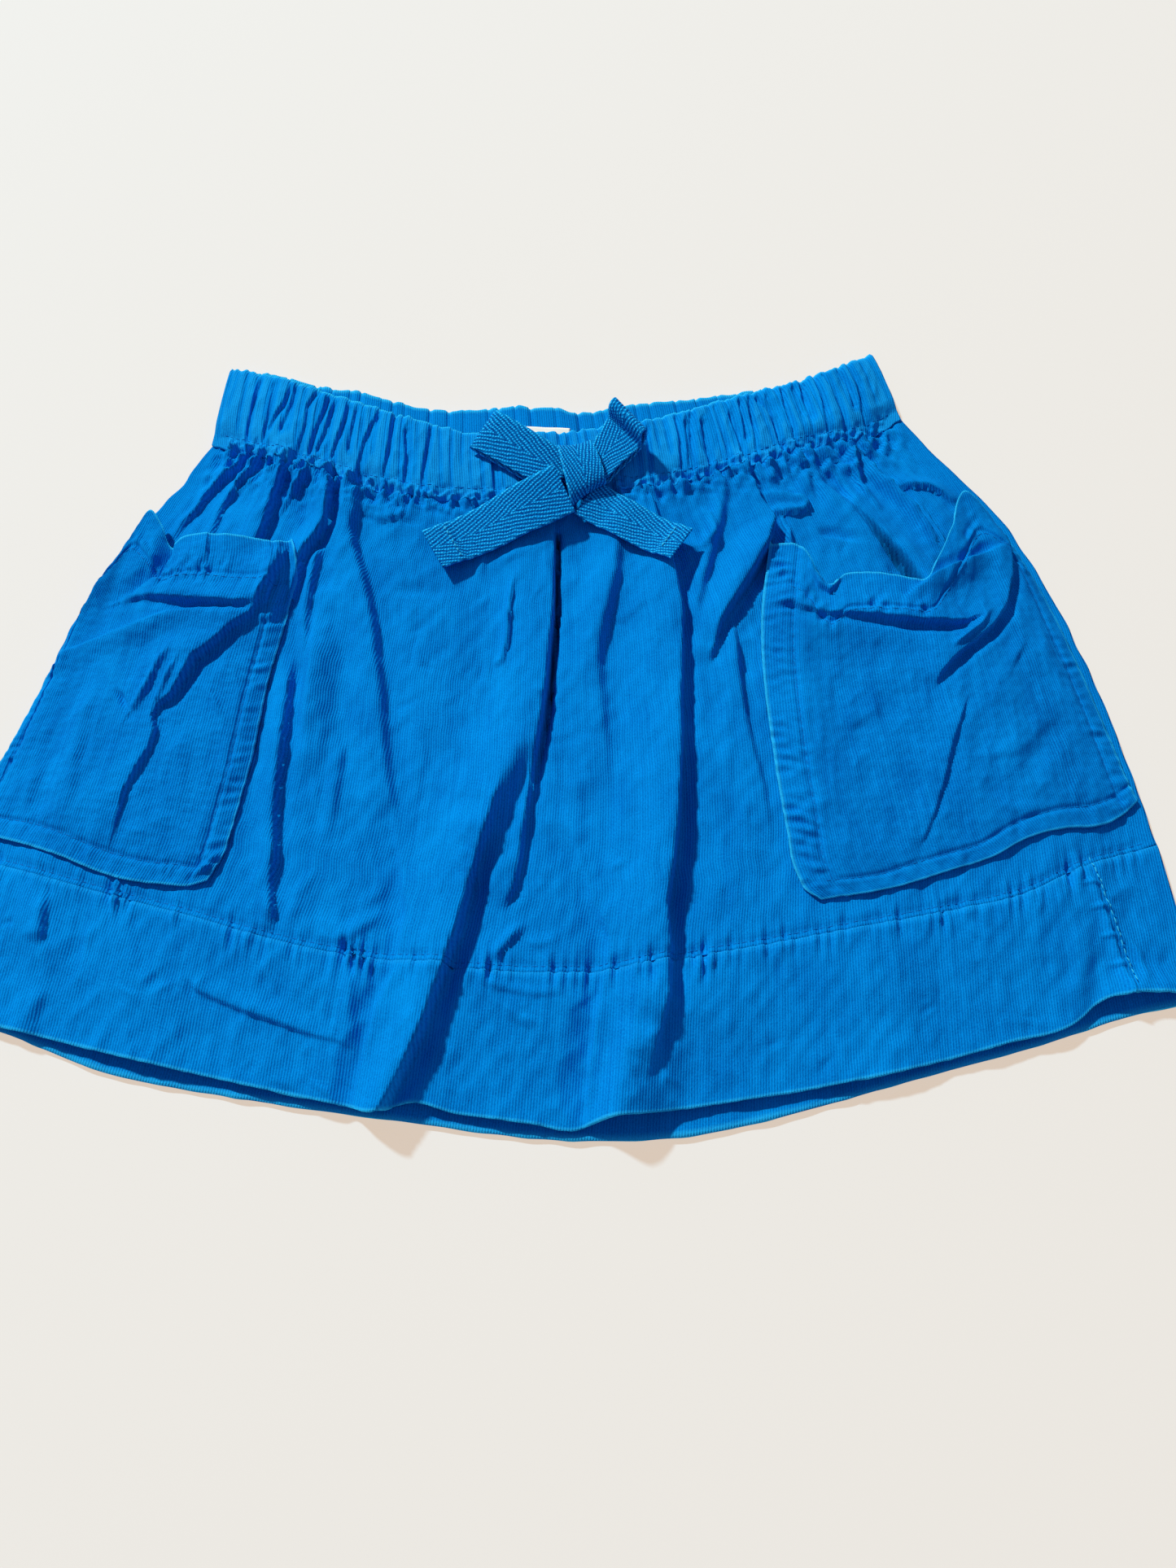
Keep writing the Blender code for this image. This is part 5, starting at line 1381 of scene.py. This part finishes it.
def build_lights():
    """Key light from the upper left of the picture and an even, cooler surround."""
    x, y, z = KEY_PLACE
    data = bpy.data.lights.new("key", "AREA")
    data.shape = "DISK"
    data.size = KEY_WIDTH
    data.energy = KEY_POWER
    data.color = KEY_COLOUR
    light = bpy.data.objects.new("key", data)
    light.location = KEY_PLACE
    turn = math.atan2(-y, -x) - math.pi / 2
    light.rotation_euler = (math.atan2(math.hypot(x, y), z), 0.0, turn)
    bpy.context.scene.collection.objects.link(light)
    world = bpy.data.worlds.new("surround")
    bpy.context.scene.world = world
    world.use_nodes = True
    surround = world.node_tree.nodes["Background"]
    surround.inputs[0].default_value = (*SKY_COLOUR, 1.0)
    surround.inputs[1].default_value = SKY_STRENGTH


def build_camera():
    """Camera at the photograph's angle."""
    data = bpy.data.cameras.new("camera")
    data.sensor_width = 36.0
    data.lens = FOCAL_PIXELS / LONG_SIDE_PIXELS * data.sensor_width
    camera = bpy.data.objects.new("camera", data)
    camera.location = (CAMERA_X, (CAMERA_PLAN_Y + PLAN_SHIFT) * MM, CAMERA_HEIGHT)
    camera.rotation_euler = (math.radians(CAMERA_TILT), 0.0, 0.0)
    bpy.context.scene.collection.objects.link(camera)
    bpy.context.scene.camera = camera


build_camera()
build_lights()
build_floor()
build_back()
build_front()
build_front_band()
build_back_band()
build_pocket("left", LEFT_MOUTH, LEFT_INNER, LEFT_BOTTOM, LEFT_OUTER, LEFT_PUFF, LEFT_POCKET_FOLDS,
             mirrored=False, seed=60)
build_pocket("right", RIGHT_MOUTH, RIGHT_INNER, RIGHT_BOTTOM, RIGHT_OUTER, RIGHT_PUFF, RIGHT_POCKET_FOLDS,
             mirrored=True, seed=80)
build_knot()
build_loop("left", LEFT_LOOP_START, LEFT_LOOP_HEADING, LEFT_LOOP_SLANT, LEFT_LOOP, offset=1.0)
build_loop("right", RIGHT_LOOP_START, RIGHT_LOOP_HEADING, RIGHT_LOOP_SLANT, RIGHT_LOOP, offset=2.0)
build_tail("left", LEFT_TAIL, offset=3.0)
build_tail("right", RIGHT_TAIL, offset=5.0)
build_label()
bpy.context.scene.view_settings.view_transform = "Standard"
